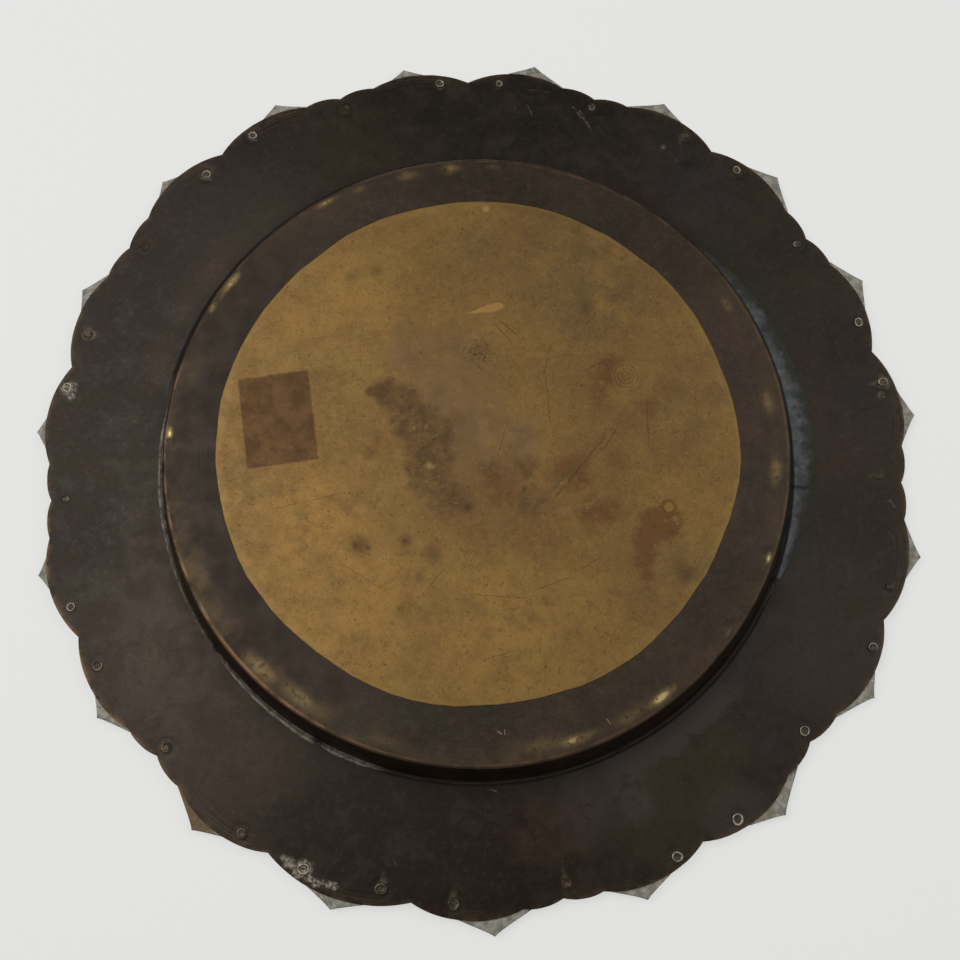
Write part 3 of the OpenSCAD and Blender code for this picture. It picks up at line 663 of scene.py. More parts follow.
def solder_material():
    m = Mat("soft_solder")
    m.angle_out = m.angle()
    across = m.attr("thin")
    wide = m.attr("wide")
    base = m.mix(m.span(m.noise(10, 5, 0.62, seed=61), 0.36, 0.64), lin("#444849"), lin("#5c6164"))
    base = m.mix(m.mul(m.span(m.noise(3.4, 5, 0.7, seed=62), 0.50, 0.68), 0.55), base, lin("#6e7376"))
    base = m.mix(m.mul(m.span(m.noise(6.0, 4, 0.66, seed=69), 0.54, 0.70), 0.4), base, lin("#363b3b"))
    # it thins out to a greenish stain at its outer edge
    fade = m.span(m.f("ADD", across, m.f("MULTIPLY", m.f("SUBTRACT", m.noise(5, 5, 0.66, seed=64), 0.5), 0.9)), 0.52, 0.98)
    base = m.mix(m.mul(fade, wide), base, lin("#2a2a24"))
    upper = m.mul(m.arc_mask(38, 60, 5), m.span(m.noise(4.5, 5, 0.66, seed=70), 0.42, 0.58))
    base = m.mix(m.mul(upper, 0.8), base, lin("#2a2d27"))
    left = m.arc_mask(196, 282, 3)
    base = m.mix(m.mul(left, 0.9), base, m.mix(m.span(m.noise(4, 4, 0.6, seed=63), 0.38, 0.62), lin("#4c463d"), lin("#7d786c")))
    brown = m.mul(m.arc_mask(232, 250, 5), 0.9)
    base = m.mix(brown, base, m.mix(m.span(m.noise(3, 4, 0.6, seed=71), 0.4, 0.6), lin("#2f2a22"), lin("#5b5240")))
    # bare stretches, where only a brown joint shows
    bare = m.top(m.arc_mask(116, 197, 3), m.arc_mask(284, 359, 4), m.span(m.angle_out, 44, 36))
    base = m.mix(m.mul(bare, 0.95), base, m.mix(m.span(m.noise(9, 4, 0.6, seed=72), 0.4, 0.6), lin("#20170f"), lin("#2e2218")))
    notch = m.top(m.arc_mask(207.4, 209.2, 0.5), m.arc_mask(231.6, 233.6, 0.5), m.arc_mask(112.4, 113.6, 0.4), m.arc_mask(95.2, 95.8, 0.3))
    base = m.mix(m.mul(notch, 0.85), base, lin("#14110e"))
    grit = m.mul(m.span(m.noise(1.4, 4, 0.7, seed=65), 0.60, 0.70), 0.5)
    base = m.mix(grit, base, lin("#2b2a29"))
    # painted shadow: a dark line where the solder meets the drum's foot, except at the bottom and on the left
    reach = m.f("MULTIPLY_ADD", m.f("MAXIMUM", m.f("DIVIDE", m.y, m.r), 0.0), 5.6, 163.2)
    joint_shadow = m.mul(m.span(m.f("SUBTRACT", m.r, reach), 0.4, -0.5), m.span(m.y, -100, -60), m.inv(m.arc_mask(236, 285, 3)))
    base = m.mix(m.mul(joint_shadow, 0.9), base, lin("#0f0c09"))
    h = m.f("ADD", m.mul(m.noise(2.6, 4, 0.65, seed=66), 1.0), m.mul(m.noise(0.7, 3, 0.6, seed=67), 0.25))
    rough = m.f("ADD", m.span(m.noise(6, 4, 0.6, seed=68), 0.3, 0.7, 0.52, 0.68), m.mul(bare, 0.12))
    return m.finish(m.tint(base, 1.0, 0.97, 0.92), m.f("SUBTRACT", 0.5, m.mul(bare, 0.2)), rough, m.bump(h, 0.16))


def silver_material(name, bright, dark, seed):
    m = Mat(name)
    m.warp_field(6.0, 2.0, 1.6, 1.2, seed=5)
    cav = m.attr("relief")
    nz = m.noise(8, 5, 0.6, seed=seed)
    tone = m.mix(m.span(nz, 0.35, 0.65), lin(bright), lin(bright, 0.82))
    ground = m.mix(m.span(m.noise(3, 4, 0.6, seed=seed + 1), 0.35, 0.65), lin(dark), lin(dark, 1.5))
    k = m.span(m.f("ADD", cav, m.f("MULTIPLY", m.f("SUBTRACT", m.noise(2.2, 4, 0.6, seed=seed + 2), 0.5), 0.22)), 0.04, 0.42)
    base = m.mix(k, ground, tone)
    yellow = m.span(m.noise(20, 4, 0.6, seed=seed + 3), 0.52, 0.72)
    base = m.mix(m.mul(yellow, 0.35), base, lin("#8b7650"))
    back = m.attr("back")
    bt = m.mix(m.span(m.noise(4.0, 5, 0.65, seed=seed + 4), 0.36, 0.64), lin("#7d7a70"), lin("#a5a297"))
    bt = m.mix(m.mul(m.span(m.noise(1.6, 4, 0.7, seed=seed + 5), 0.54, 0.68), 0.65), bt, lin("#5a564c"))
    bt = m.mix(m.mul(m.span(m.noise(9, 4, 0.6, seed=seed + 6), 0.52, 0.68), 0.55), bt, lin("#827757"))
    bt = m.mix(m.mul(m.span(m.noise(2.6, 4, 0.7, seed=seed + 9), 0.56, 0.68), 0.5), bt, lin("#c2bfb5"))
    bt = m.mix(m.mul(m.near(138, -175, 15, 3), 0.85), bt, lin("#6f5738"))
    base = m.mix(back, base, bt)
    rough = m.f("ADD", m.span(nz, 0.3, 0.7, 0.28, 0.42), m.mul(m.inv(k), 0.18))
    rough = m.f("ADD", rough, m.mul(back, 0.15))
    mat = m.voronoi(0.9, seed=seed + 7)
    h = m.f("ADD", m.mul(mat, m.inv(k), m.inv(back), 0.55), m.mul(m.noise(1.2, 3, 0.6, seed=seed + 8), 0.25))
    metal = m.f("SUBTRACT", 0.95, m.mul(back, 0.35))
    return m.finish(base, metal, rough, m.bump(h, 0.15))


def rivet_material():
    m = Mat("rivet_white_metal")
    crest = m.attr("crest")
    warm = m.attr("warm")
    nz = m.noise(1.3, 4, 0.65, seed=81)
    ring = m.mix(m.span(nz, 0.35, 0.65), lin("#8b8471"), lin("#bab5a6"))
    ring = m.mix(warm, ring, lin("#84684a"))
    skin = m.mix(m.span(m.noise(2.4, 4, 0.6, seed=84), 0.36, 0.64), lin("#3c3227"), lin("#52463a"))
    base = m.mix(m.mul(m.span(crest, 0.30, 0.80), m.span(nz, 0.30, 0.46)), skin, ring)
    h = m.noise(0.7, 3, 0.6, seed=83)
    return m.finish(base, 0.7, 0.44, m.bump(h, 0.08))


def field_material(name, c0, c1, dark, seed):
    """Hammered, rubbed sheet metal of the playing field."""
    m = Mat(name)
    base = m.mix(m.span(m.noise(22, 5, 0.6, seed=seed), 0.36, 0.66), lin(c0), lin(c1))
    base = m.mix(m.mul(m.span(m.noise(4, 5, 0.65, seed=seed + 1), 0.52, 0.72), 0.5), base, lin(dark))
    # dimples: dark ring where polish doesn't reach
    low = m.span(m.z, 16.9, 15.2)
    base = m.mix(m.mul(low, 0.5), base, lin(dark))
    scr = m.mul(m.span(m.noise(1.0, 3, 0.7, vec=m.comb(m.mul(m.x, 0.04), m.mul(m.y, 2.0), 0.0), seed=0.2), 0.6, 0.75), 0.4)
    base = m.mix(scr, base, lin(c1, 1.25))
    ham = m.voronoi(6.0, vec=m.flat, seed=seed + 2)
    h = m.f("ADD", m.mul(ham, 1.0), m.mul(m.noise(0.9, 3, 0.6, seed=seed + 3), 0.12))
    rough = m.span(m.noise(9, 4, 0.6, seed=seed + 4), 0.3, 0.7, 0.26, 0.42)
    return m.finish(base, 0.95, rough, m.bump(h, 0.16))


def wood_material():
    m = Mat("teak")
    vec = m.comb(m.mul(m.x, 0.12), m.y, m.z)
    base = m.mix(m.span(m.noise(5, 5, 0.6, vec=vec, distort=1.2, seed=91), 0.35, 0.65), lin("#4a2f19"), lin("#6d4a2a"))
    base = m.mix(m.mul(m.span(m.noise(0.9, 3, 0.6, vec=vec, seed=92), 0.5, 0.7), 0.5), base, lin("#38220f"))
    return m.finish(base, 0.0, 0.6, m.bump(m.noise(0.8, 3, 0.6, vec=vec, seed=93), 0.15))


# ---------------------------------------------------------------- copper ring
def rim_ring():
    A = 76 * TIPS
    a = np.arange(A) * (360.0 / A)
    edge = ring_edge(a)
    edge = edge + 0.12 * value_noise(a * 4, a * 0, 9, 3, 2)
    inner = DRUM_R + 0.05
    # radial stations: fine near the edge
    back = np.concatenate([np.arange(0.45, 13.0, 0.5), np.arange(13.4, 30.0, 1.25)])[::-1]
    rough_n = 10
    R = np.zeros((A, rough_n + len(back)))
    for k in range(rough_n):
        R[:, k] = inner + (edge - back[0] - 1.25 - inner) * (k / (rough_n - 1.0))
    R[:, rough_n:] = edge[:, None] - back[None, :]
    g = a + NOTCH
    X, Y = around(R, g[:, None])
    E = edge[:, None] - R  # distance in from the edge
    wave = 0.22 * value_noise(X, Y, 60, 5, 2) + 0.05 * value_noise(X, Y, 14, 6, 2)
    wave *= smooth(R, inner + 2, inner + 25)
    # impressed lines along the wide lobes, and dents round the rivets
    k = np.floor(np.mod(a, 360) / STEP).astype(int)
    base = np.where(k < 10, (k // 2) * 2, np.where(k < 11, 10, 11 + ((k - 11) // 2) * 2)) * STEP
    v = a - base
    s = np.where(k == 10, STEP, 2 * STEP)
    m_ = np.minimum(v, s - v)
    on = smooth(m_, 1.5, 3.5) * (1 - smooth(m_, 11.5, 13.5))
    strength = np.clip(0.15 + 0.9 * value_noise(a * 1.0, a * 0 + 3.0, 22, 8, 1), 0.0, 0.8)
    g1 = np.exp(-((E - 3.0) / 0.42) ** 2) + 0.8 * np.exp(-((E - 4.6) / 0.42) ** 2) + 0.35 * np.exp(-((E - 7.4) / 0.5) ** 2)
    groove = g1 * (on * strength)[:, None]
    rivet = np.zeros_like(R)
    for ra, rr, kind, p in RIVETS:
        da = (g - ra + 180) % 360 - 180
        cols = np.abs(da) < 3.2
        d = np.hypot(X[cols] - around(rr, ra)[0], Y[cols] - around(rr, ra)[1])
        rivet[cols] = np.maximum(rivet[cols], np.exp(-((d - 3.6) / 1.5) ** 2) * 0.16 - 0.22 * np.exp(-(d / 2.6) ** 2))
    Zb = RING_Z + wave + 0.16 * groove + rivet
    # white crust round two rivets of the lower edge and one at the left
    crust = np.zeros_like(R)
    rag = value_noise(X, Y, 3.2, 9, 3)
    for cx, cy, cr in ((82.4, -200.7, 4.6), (88.6, -198.2, 3.0), (91.5, -196.4, 2.0), (86.0, -203.6, 2.0), (78.9, -205.7, 1.7), (76.0, -206.8, 1.9), (73.2, -207.5, 1.7),
                       (70.0, -208.2, 1.8), (67.0, -208.8, 1.5), (212.4, 36.6, 4.2), (211.0, 32.4, 2.4)):
        crust = np.maximum(crust, 1 - smooth(np.hypot(X - cx, Y - cy) + 1.5 * rag, cr * 0.45, cr * 1.2))
    # smears round some rivets, drawn out towards the drum
    smear = np.zeros_like(R)
    for n, long, wide, gain in ((1, 4, 4.0, 0.7), (3, 2, 3.6, 0.6), (6, 3, 4.4, 0.9), (8, 3, 3.0, 0.4), (13, 6, 3.4, 0.9), (14, 6, 3.0, 0.7), (21, 2, 4.6, 0.8), (22, 2, 4.4, 0.7), (25, 1, 3.6, 0.8), (27, 6, 3.4, 0.9), (0, 1, 3.2, 0.5), (24, 2, 3.4, 0.6)):
        ra, rr = RIVETS[n][0], RIVETS[n][1]
        da = ((g - ra + 180) % 360 - 180)[:, None] * math.pi / 180 * rr
        dr = rr - R
        tail = np.clip(dr / (long + wide), 0, 1)
        half = wide * (1 - 0.75 * tail)
        dd = np.hypot(da / half, np.where(dr > 0, dr / (long + wide), dr / wide))
        smear = np.maximum(smear, gain * (1 - smooth(dd + 0.35 * rag, 0.55, 1.1)))
    Zb = Zb - 0.14 * crust
    # cross-section loop: back face, rounded edge, front face
    cols = [(X, Y, Zb)]
    edgeflag = [np.exp(-np.clip(E - 0.45, 0, None) / 0.9) * 0.55]
    lip_z = Zb[:, -1:]
    for dr, dz in ((0.28, 0.02), (0.08, 0.16), (0.0, 0.42), (0.0, 0.8), (0.12, 1.08), (0.45, 1.2)):
        x, y = around(edge - dr, g)
        cols.append((x[:, None], y[:, None], lip_z + dz))
        edgeflag.append(np.ones((A, 1)))
    front_r = [4.0, 12.0]
    for e in front_r:
        x, y = around(edge - e, g)
        cols.append((x[:, None], y[:, None], np.full((A, 1), RING_Z + 1.2)))
        edgeflag.append(np.zeros((A, 1)))
    x, y = around(np.full(A, inner), g)
    cols.append((x[:, None], y[:, None], np.full((A, 1), RING_Z + 1.2)))
    edgeflag.append(np.zeros((A, 1)))
    P = np.stack([np.concatenate([c[i] for c in cols], 1) for i in range(3)], -1)
    nb = R.shape[1]
    extra = P.shape[1] - nb
    pad = np.zeros((A, extra))
    attrs = {"edge": np.concatenate(edgeflag, 1), "groove": np.concatenate([groove, pad], 1), "crust": np.concatenate([crust, pad], 1), "smear": np.concatenate([smear, pad], 1)}
    return new_mesh("rim_ring_sheet", P.reshape(-1, 3), torus_faces(A, P.shape[1]), attrs=attrs, sharp=50)


# ---------------------------------------------------------------- pan
def wall_out_r(z):
    return DRUM_R - (RING_Z - z) * math.tan(math.radians(DRAFT))


def revolve(name, prof, A, offset=None, attrs=None, sharp=40, pole0=True, pole1=True):
    """Closed solid from an open profile [(r, z)] whose two ends lie on the axis."""
    prof = np.asarray(prof, float)
    body = prof[1:-1]
    a = np.arange(A) * (360.0 / A)
    R = np.tile(body[:, 0], (A, 1))
    Z = np.tile(body[:, 1], (A, 1))
    if offset is not None:
        R, Z = offset(R, Z, a[:, None] * np.ones_like(R))
    X, Y = around(R, a[:, None])
    n = len(body)
    verts = np.concatenate([np.stack([X, Y, Z], -1).reshape(-1, 3), [[0, 0, prof[0, 1]], [0, 0, prof[-1, 1]]]])
    u, v = np.meshgrid(np.arange(A), np.arange(n - 1), indexing="ij")
    u2 = (u + 1) % A
    quads = np.stack([u * n + v, u2 * n + v, u2 * n + v + 1, u * n + v + 1], -1).reshape(-1, 4)
    k = np.arange(A)
    k2 = (k + 1) % A
    tris = np.concatenate([np.stack([np.full(A, A * n), k2 * n, k * n], -1), np.stack([np.full(A, A * n + 1), k * n + n - 1, k2 * n + n - 1], -1)])
    at = {}
    for key, fn in (attrs or {}).items():
        val = fn(R, Z)
        at[key] = np.concatenate([val.reshape(-1), [val[0, 0], val[0, -1]]])
    return new_mesh(name, verts, quads, tris, sharp=sharp, attrs=at)


def well_pan():
    t15 = math.tan(math.radians(DRAFT))
    fold = 1.7  # the spun shoulder is a tight fold
    z_fold = BACK_T + fold * (1 - math.sin(math.radians(DRAFT)))
    fold_r = wall_out_r(z_fold) - fold * math.cos(math.radians(DRAFT))
    z_arc = BACK_T + SHOULDER * (1 - math.sin(math.radians(DRAFT)))
    arc_r = wall_out_r(z_arc) - SHOULDER * math.cos(math.radians(DRAFT))
    cz = BACK_T + SHOULDER
    prof = [(0, BACK_T), (60, BACK_T), (110, BACK_T), (120, BACK_T)]
    prof += [(r, BACK_T) for r in np.arange(121.0, fold_r - 0.2, 0.9)]
    for an in np.linspace(-90, -DRAFT, 12):
        prof.append((fold_r + fold * math.cos(math.radians(an)), BACK_T + fold + fold * math.sin(math.radians(an))))
    z0 = prof[-1][1]
    for z in np.linspace(z0, RING_Z, 18)[1:]:
        prof.append((wall_out_r(z), z))
    prof += [(DRUM_R, TOP_Z - 0.02), (DRUM_R + 0.2, TOP_Z), (LIP_R - 0.3, TOP_Z), (LIP_R, TOP_Z + 0.25), (LIP_R, TOP_Z + 0.75), (LIP_R - 0.3, TOP_Z + 1.0)]
    prof += [(r, TOP_Z + 1.0) for r in (LIP_R - 2, LIP_R - 4, LIP_R - 6)]
    for an in np.linspace(90, 180, 8):
        prof.append((WALL_IN + 1.6 + 1.6 * math.cos(math.radians(an)), TOP_Z - 0.6 + 1.6 * math.sin(math.radians(an))))
    rin = PAN_T / math.cos(math.radians(DRAFT))
    neck = RING_Z - ((wall_out_r(RING_Z) - rin) - WALL_IN) / t15
    first_inner = len(prof) - 12
    z_in = cz - (SHOULDER - PAN_T) * math.sin(math.radians(DRAFT))
    for z in np.linspace(min(neck, RING_Z), z_in, 16):
        prof.append((wall_out_r(z) - rin, z))
    for an in np.linspace(-DRAFT, -90, 8)[1:]:
        prof.append((arc_r + (SHOULDER - PAN_T) * math.cos(math.radians(an)), cz + (SHOULDER - PAN_T) * math.sin(math.radians(an))))
    prof += [(100, BACK_T + PAN_T), (0, BACK_T + PAN_T)]
    n_body = len(prof) - 2
    flag = np.zeros(n_body)
    flag[first_inner:] = 1.0

    def offset(R, Z, a):
        X, Y = around(R, a)
        outer = (np.arange(R.shape[1]) < first_inner)[None, :]
        lowpart = smooth(R, 126, 140) * (1 - smooth(Z, 22, 27))
        # out of round by hand work, dents on the shoulder, turning marks
        R = R + outer * lowpart * (0.35 * sind(2 * a + 40) + 0.2 * sind(5 * a + 10) + 0.12 * value_noise(a * 2.4, Z, 14, 12, 2))
        dz = 0.10 * value_noise(X, Y, 40, 13, 2) + 0.03 * np.sin(R * 2.6) * smooth(R, 122, 126)
        dz = dz + 0.16 * smooth(R, 138, 150) * value_noise(a * 2.4, R * 0, 20, 14, 2)
        floor = outer * (Z < BACK_T + SHOULDER) * smooth(R, 126, 132)
        Z = Z + floor * (dz + 0.12)
        return R, Z

    def patches(R, Z):
        # worn places on the shoulder: angle, radius, length along the edge, width, strength
        rubs = [(272, 151.2, 3.2, 1.3, 1.0), (298, 151.4, 2.6, 1.2, 0.8), (304, 151.0, 6.5, 1.6, 0.85), (329, 151.2, 5.5, 1.3, 0.8), (336, 150.0, 3.5, 1.6, 0.4),
                (346, 149.6, 5.0, 2.4, 0.6), (355, 149.4, 4.6, 2.4, 0.75), (3, 150.4, 4.0, 1.8, 0.35), (60, 146.5, 5.0, 2.6, 0.45), (81, 146.2, 5.6, 3.0, 0.55),
                (95, 147.0, 7.0, 3.0, 0.55), (112, 151.2, 2.6, 1.0, 1.0), (128, 150.6, 3.0, 1.0, 0.4), (145, 149.6, 8.0, 2.0, 1.0), (151, 149.0, 12.0, 3.0, 0.4),
                (162, 148.6, 9.0, 2.2, 0.85), (168, 147.0, 11.0, 3.6, 0.4), (214, 147.4, 11.0, 3.4, 0.45), (223, 148.8, 9.0, 3.2, 0.5), (196, 148.0, 8.0, 3.0, 0.25)]
        a = (np.arange(R.shape[0]) * (360.0 / R.shape[0]))[:, None]
        X, Y = around(R, a)
        rag = value_noise(X, Y, 6.0, 15, 3)
        out = np.zeros_like(R)
        for ra, rr, ln, wd, gain in rubs:
            along = ((a - ra + 180) % 360 - 180) * math.pi / 180 * rr
            d = np.hypot(along / ln, (R - rr) / wd)
            out = np.maximum(out, gain * np.exp(-(np.clip(d + 0.35 * rag, 0, 9) ** 2) * 0.9))
        return out * (Z < 6)

    return revolve("well_pan_spun", prof, 900, offset, {"inner": lambda R, Z: np.tile(flag, (R.shape[0], 1)), "patch": patches}, sharp=48)


# ---------------------------------------------------------------- backing disc
def swell(a, c, w):
    d = np.abs(a - c)
    return np.where(d < w, 0.5 + 0.5 * np.cos(np.pi * (a - c) / w), 0)


def backing_edge(a):
    a = np.mod(a, 360)
    return 128 + 0.35 * sind(3 * a + 40) + 0.3 * sind(8 * a) + 1.6 * swell(a, 92, 24) + 1.2 * swell(a, 196, 22) - ((a > 318) & (a < 327)) * 1.0


def backing_disc():
    cut = 4.5
    per = 9
    nodes = np.arange(0, 360, cut)
    rn = backing_edge(nodes) + 0.5 * value_noise(nodes * 3.0, nodes * 0, 9, 21, 1)
    A = len(nodes) * per
    a = np.arange(A) * (360.0 / A)
    # straight cuts between the corners
    i = (a // cut).astype(int)
    t = (a - i * cut) / cut
    x0, y0 = around(rn[i], nodes[i])
    j = (i + 1) % len(nodes)
    x1, y1 = around(rn[j], nodes[j])
    ex, ey = x0 * (1 - t) + x1 * t, y0 * (1 - t) + y1 * t
    er = np.hypot(ex, ey) + 0.12 * value_noise(a * 3, a * 0, 5, 22, 2)
    ea = np.degrees(np.arctan2(-ex, ey))
    ts = np.concatenate([np.linspace(0.04, 0.94, 46), [0.955, 0.967, 0.978, 0.986, 0.9925, 0.9975]])
    n = len(ts)
    X = np.zeros((A, n))
    Y = np.zeros((A, n))
    for k, tt in enumerate(ts):
        X[:, k], Y[:, k] = around(er * tt, ea)
    Y = Y + 1.7
    wave = 0.10 * value_noise(X, Y, 45, 23, 2) + 0.025 * value_noise(X, Y, 9, 24, 2)
    wave = wave - wave.min()
    Z = wave * 0.6
    lift = smooth(ts, 0.97, 1.0)[None, :] * (0.10 + 0.12 * value_noise(a[:, None] * 1.5 + 0 * X, 0 * X, 16, 25, 1))
    Z = Z + lift
    cols = [(X, Y, Z)]
    e1 = np.tile(smooth(ts, 0.985, 0.9975), (A, 1))
    rim = np.tile(smooth(ts, 0.955, 0.985), (A, 1)) * (1 - e1)
    edge = [e1]
    rims = [rim]
    zl = Z[:, -1:]
    for dr, dz in ((0.12, 0.03), (0.0, 0.14), (0.0, 0.5), (0.06, 0.78)):
        x, y = around(er - dr, ea)
        cols.append((x[:, None], y[:, None] + 1.7, np.minimum(zl + dz, 0.9)))
        edge.append(np.ones((A, 1)))
        rims.append(np.zeros((A, 1)))
    x, y = around(er - 6, ea)
    cols.append((x[:, None], y[:, None] + 1.7, np.full((A, 1), 0.82)))
    edge.append(np.zeros((A, 1)))
    rims.append(np.zeros((A, 1)))
    P = np.stack([np.concatenate([c[q] for c in cols], 1) for q in range(3)], -1)
    V = P.shape[1]
    verts = np.concatenate([P.reshape(-1, 3), [[0, 1.7, Z[:, 0].mean()], [0, 1.7, 0.82]]])
    u, v = np.meshgrid(np.arange(A), np.arange(V - 1), indexing="ij")
    u2 = (u + 1) % A
    quads = np.stack([u * V + v, u2 * V + v, u2 * V + v + 1, u * V + v + 1], -1).reshape(-1, 4)
    k = np.arange(A)
    k2 = (k + 1) % A
    tris = np.concatenate([np.stack([np.full(A, A * V), k2 * V, k * V], -1), np.stack([np.full(A, A * V + 1), k * V + V - 1, k2 * V + V - 1], -1)])
    at = {"edge": np.concatenate([np.concatenate(edge, 1).ravel(), [0, 0]]), "rim": np.concatenate([np.concatenate(rims, 1).ravel(), [0, 0]])}
    return new_mesh("backing_disc_sheet", verts, quads, tris, attrs=at, sharp=45)


# ---------------------------------------------------------------- solder
def solder():
    A = 1440
    a = np.arange(A) * (360.0 / A)
    # how far the solder runs out over the rim, round the drum
    kp = [(0, 0.8), (30, 0.9), (42, 3.0), (48, 7.5), (55, 10.5), (62, 11.6), (70, 11.8), (77, 12.6), (83, 13.0), (90, 12.4), (96, 10.4),
          (103, 7.4), (109, 5.2), (112, 3.6), (116, 1.4), (124, 1.0), (150, 0.8), (196, 0.8), (200, 1.8),
          (208, 2.4), (223, 2.2), (231, 1.6), (240, 1.3), (250, 1.7), (262, 2.0), (276, 1.8), (284, 0.9), (320, 0.8), (360, 0.8)]
    w = np.interp(a, [q[0] for q in kp], [q[1] for q in kp])
    wn = value_noise(a * 3.0, a * 0, 7, 31, 3)
    w = w * (1 + 0.16 * wn) + 0.35 * value_noise(a * 8.0, a * 0, 9, 32, 2)
    for ca, wa in ((208.1, 0.55), (231.5, 0.7), (113.5, 0.6), (95.5, 0.35), (61.0, 0.4)):
        w = w - 1.4 * np.exp(-((a - ca) / wa) ** 2)
    w = np.maximum(w, 0.5)
    up = np.interp(a, [0, 44, 60, 90, 110, 120, 196, 204, 225, 280, 286, 360], [2.0, 2.4, 3.2, 3.4, 3.0, 2.0, 1.8, 3.0, 3.0, 2.8, 1.8, 2.0])
    rows = []
    thin = []
    ns = 22
    t15 = math.tan(math.radians(DRAFT))
    for k in range(ns):
        t = k / (ns - 1)
        # from high on the wall, through the fillet, out over the rim
        if t < 0.4:
            q = t / 0.4
            z = RING_Z - up * (1 - q) ** 1.4 - 0.0
            r = wall_out_r(RING_Z) - (RING_Z - z) * t15 + (0.12 + 0.75 * np.sin(np.pi * q) ** 1.0 * np.minimum(w, 3) / 3 + q * 1.0 * np.minimum(w, 3.2) / 3.2)
            z = z - 0.45 * q * np.minimum(w, 3) / 3
        else:
            q = (t - 0.4) / 0.6
            r0 = DRUM_R + 0.12 + 1.0 * np.minimum(w, 3.2) / 3.2
            r = r0 + (DRUM_R + w - r0) * q
            thick = (0.45 * np.minimum(w, 3) / 3) * (1 - q) ** 1.3 + 0.30 * np.sqrt(np.clip(1 - q ** 4, 0, 1)) * smooth(w, 2.0, 7.0) * (1 - 0.25 * q)
            z = RING_Z - thick - 0.02
        r = np.asarray(r) + 0 * a
        z = np.asarray(z) + 0 * a
        X, Y = around(r, a)
        if 0 < k < ns - 1:
            z = z - 0.10 * (value_noise(X, Y, 4.5, 33, 3)) * smooth(w, 1.2, 4.0)
        rows.append(np.stack([X, Y, z], -1))
        thin.append(np.full(A, t))
    # buried side that closes the strip
    xb, yb = around(DRUM_R + np.maximum(w - 0.2, 0.5), a)
    rows.append(np.stack([xb, yb, np.full(A, RING_Z + 0.25)], -1))
    thin.append(np.zeros(A))
    xb, yb = around(np.full(A, DRUM_R - 0.1), a)
    rows.append(np.stack([xb, yb, np.full(A, RING_Z + 0.25)], -1))
    thin.append(np.zeros(A))
    xb, yb = around(wall_out_r(RING_Z) - up * t15 - 0.15, a)
    rows.append(np.stack([xb, yb, RING_Z - up + 0.1], -1))
    thin.append(np.zeros(A))
    P = np.stack(rows, 1)
    wide = np.tile(smooth(w, 3.0, 6.0)[:, None], (1, P.shape[1]))
    return new_mesh("solder_run", P.reshape(-1, 3), torus_faces(A, P.shape[1]), attrs={"thin": np.stack(thin, 1), "wide": wide}, sharp=60)


# ---------------------------------------------------------------- silver panels
def curve_distance(X, Y, cx, cy):
    d = np.full(X.shape, 1e9)
    for k in range(len(cx) - 1):
        ax, ay, bx, by = cx[k], cy[k], cx[k + 1], cy[k + 1]
        dx, dy = bx - ax, by - ay
        L = dx * dx + dy * dy + 1e-12
        t = np.clip(((X - ax) * dx + (Y - ay) * dy) / L, 0, 1)
        d = np.minimum(d, (X - ax - t * dx) ** 2 + (Y - ay - t * dy) ** 2)
    return np.sqrt(d)


def dome(d, w, h):
    return h * np.sqrt(np.clip(1 - (d / w) ** 2, 0, 1))


def arch_r(d, w, r0, r1):
    return r0 + (r1 - r0) * (1 - np.minimum(1, np.abs(d) / w) ** 1.5) ** 0.8


def leaf(X, Y, cx, cy, ang, length, width, h):
    ca, sa = math.cos(math.radians(ang)), math.sin(math.radians(ang))
    u = (X - cx) * ca + (Y - cy) * sa
    v = -(X - cx) * sa + (Y - cy) * ca
    t = np.clip(u / length, -1, 1)
    half = width * (1 - t * t) ** 0.75 * (1 - 0.25 * t)
    inside = (np.abs(u) < length) & (half > 1e-3)
    q = np.abs(v) / np.maximum(half, 1e-3)
    z = np.where(inside & (q < 1), h * np.sqrt(np.clip(1 - q * q, 0, 1)) * (1 - 0.3 * t * t), 0)
    return z - np.where(inside & (q < 1), 0.28 * h * np.exp(-(v / 0.32) ** 2), 0)


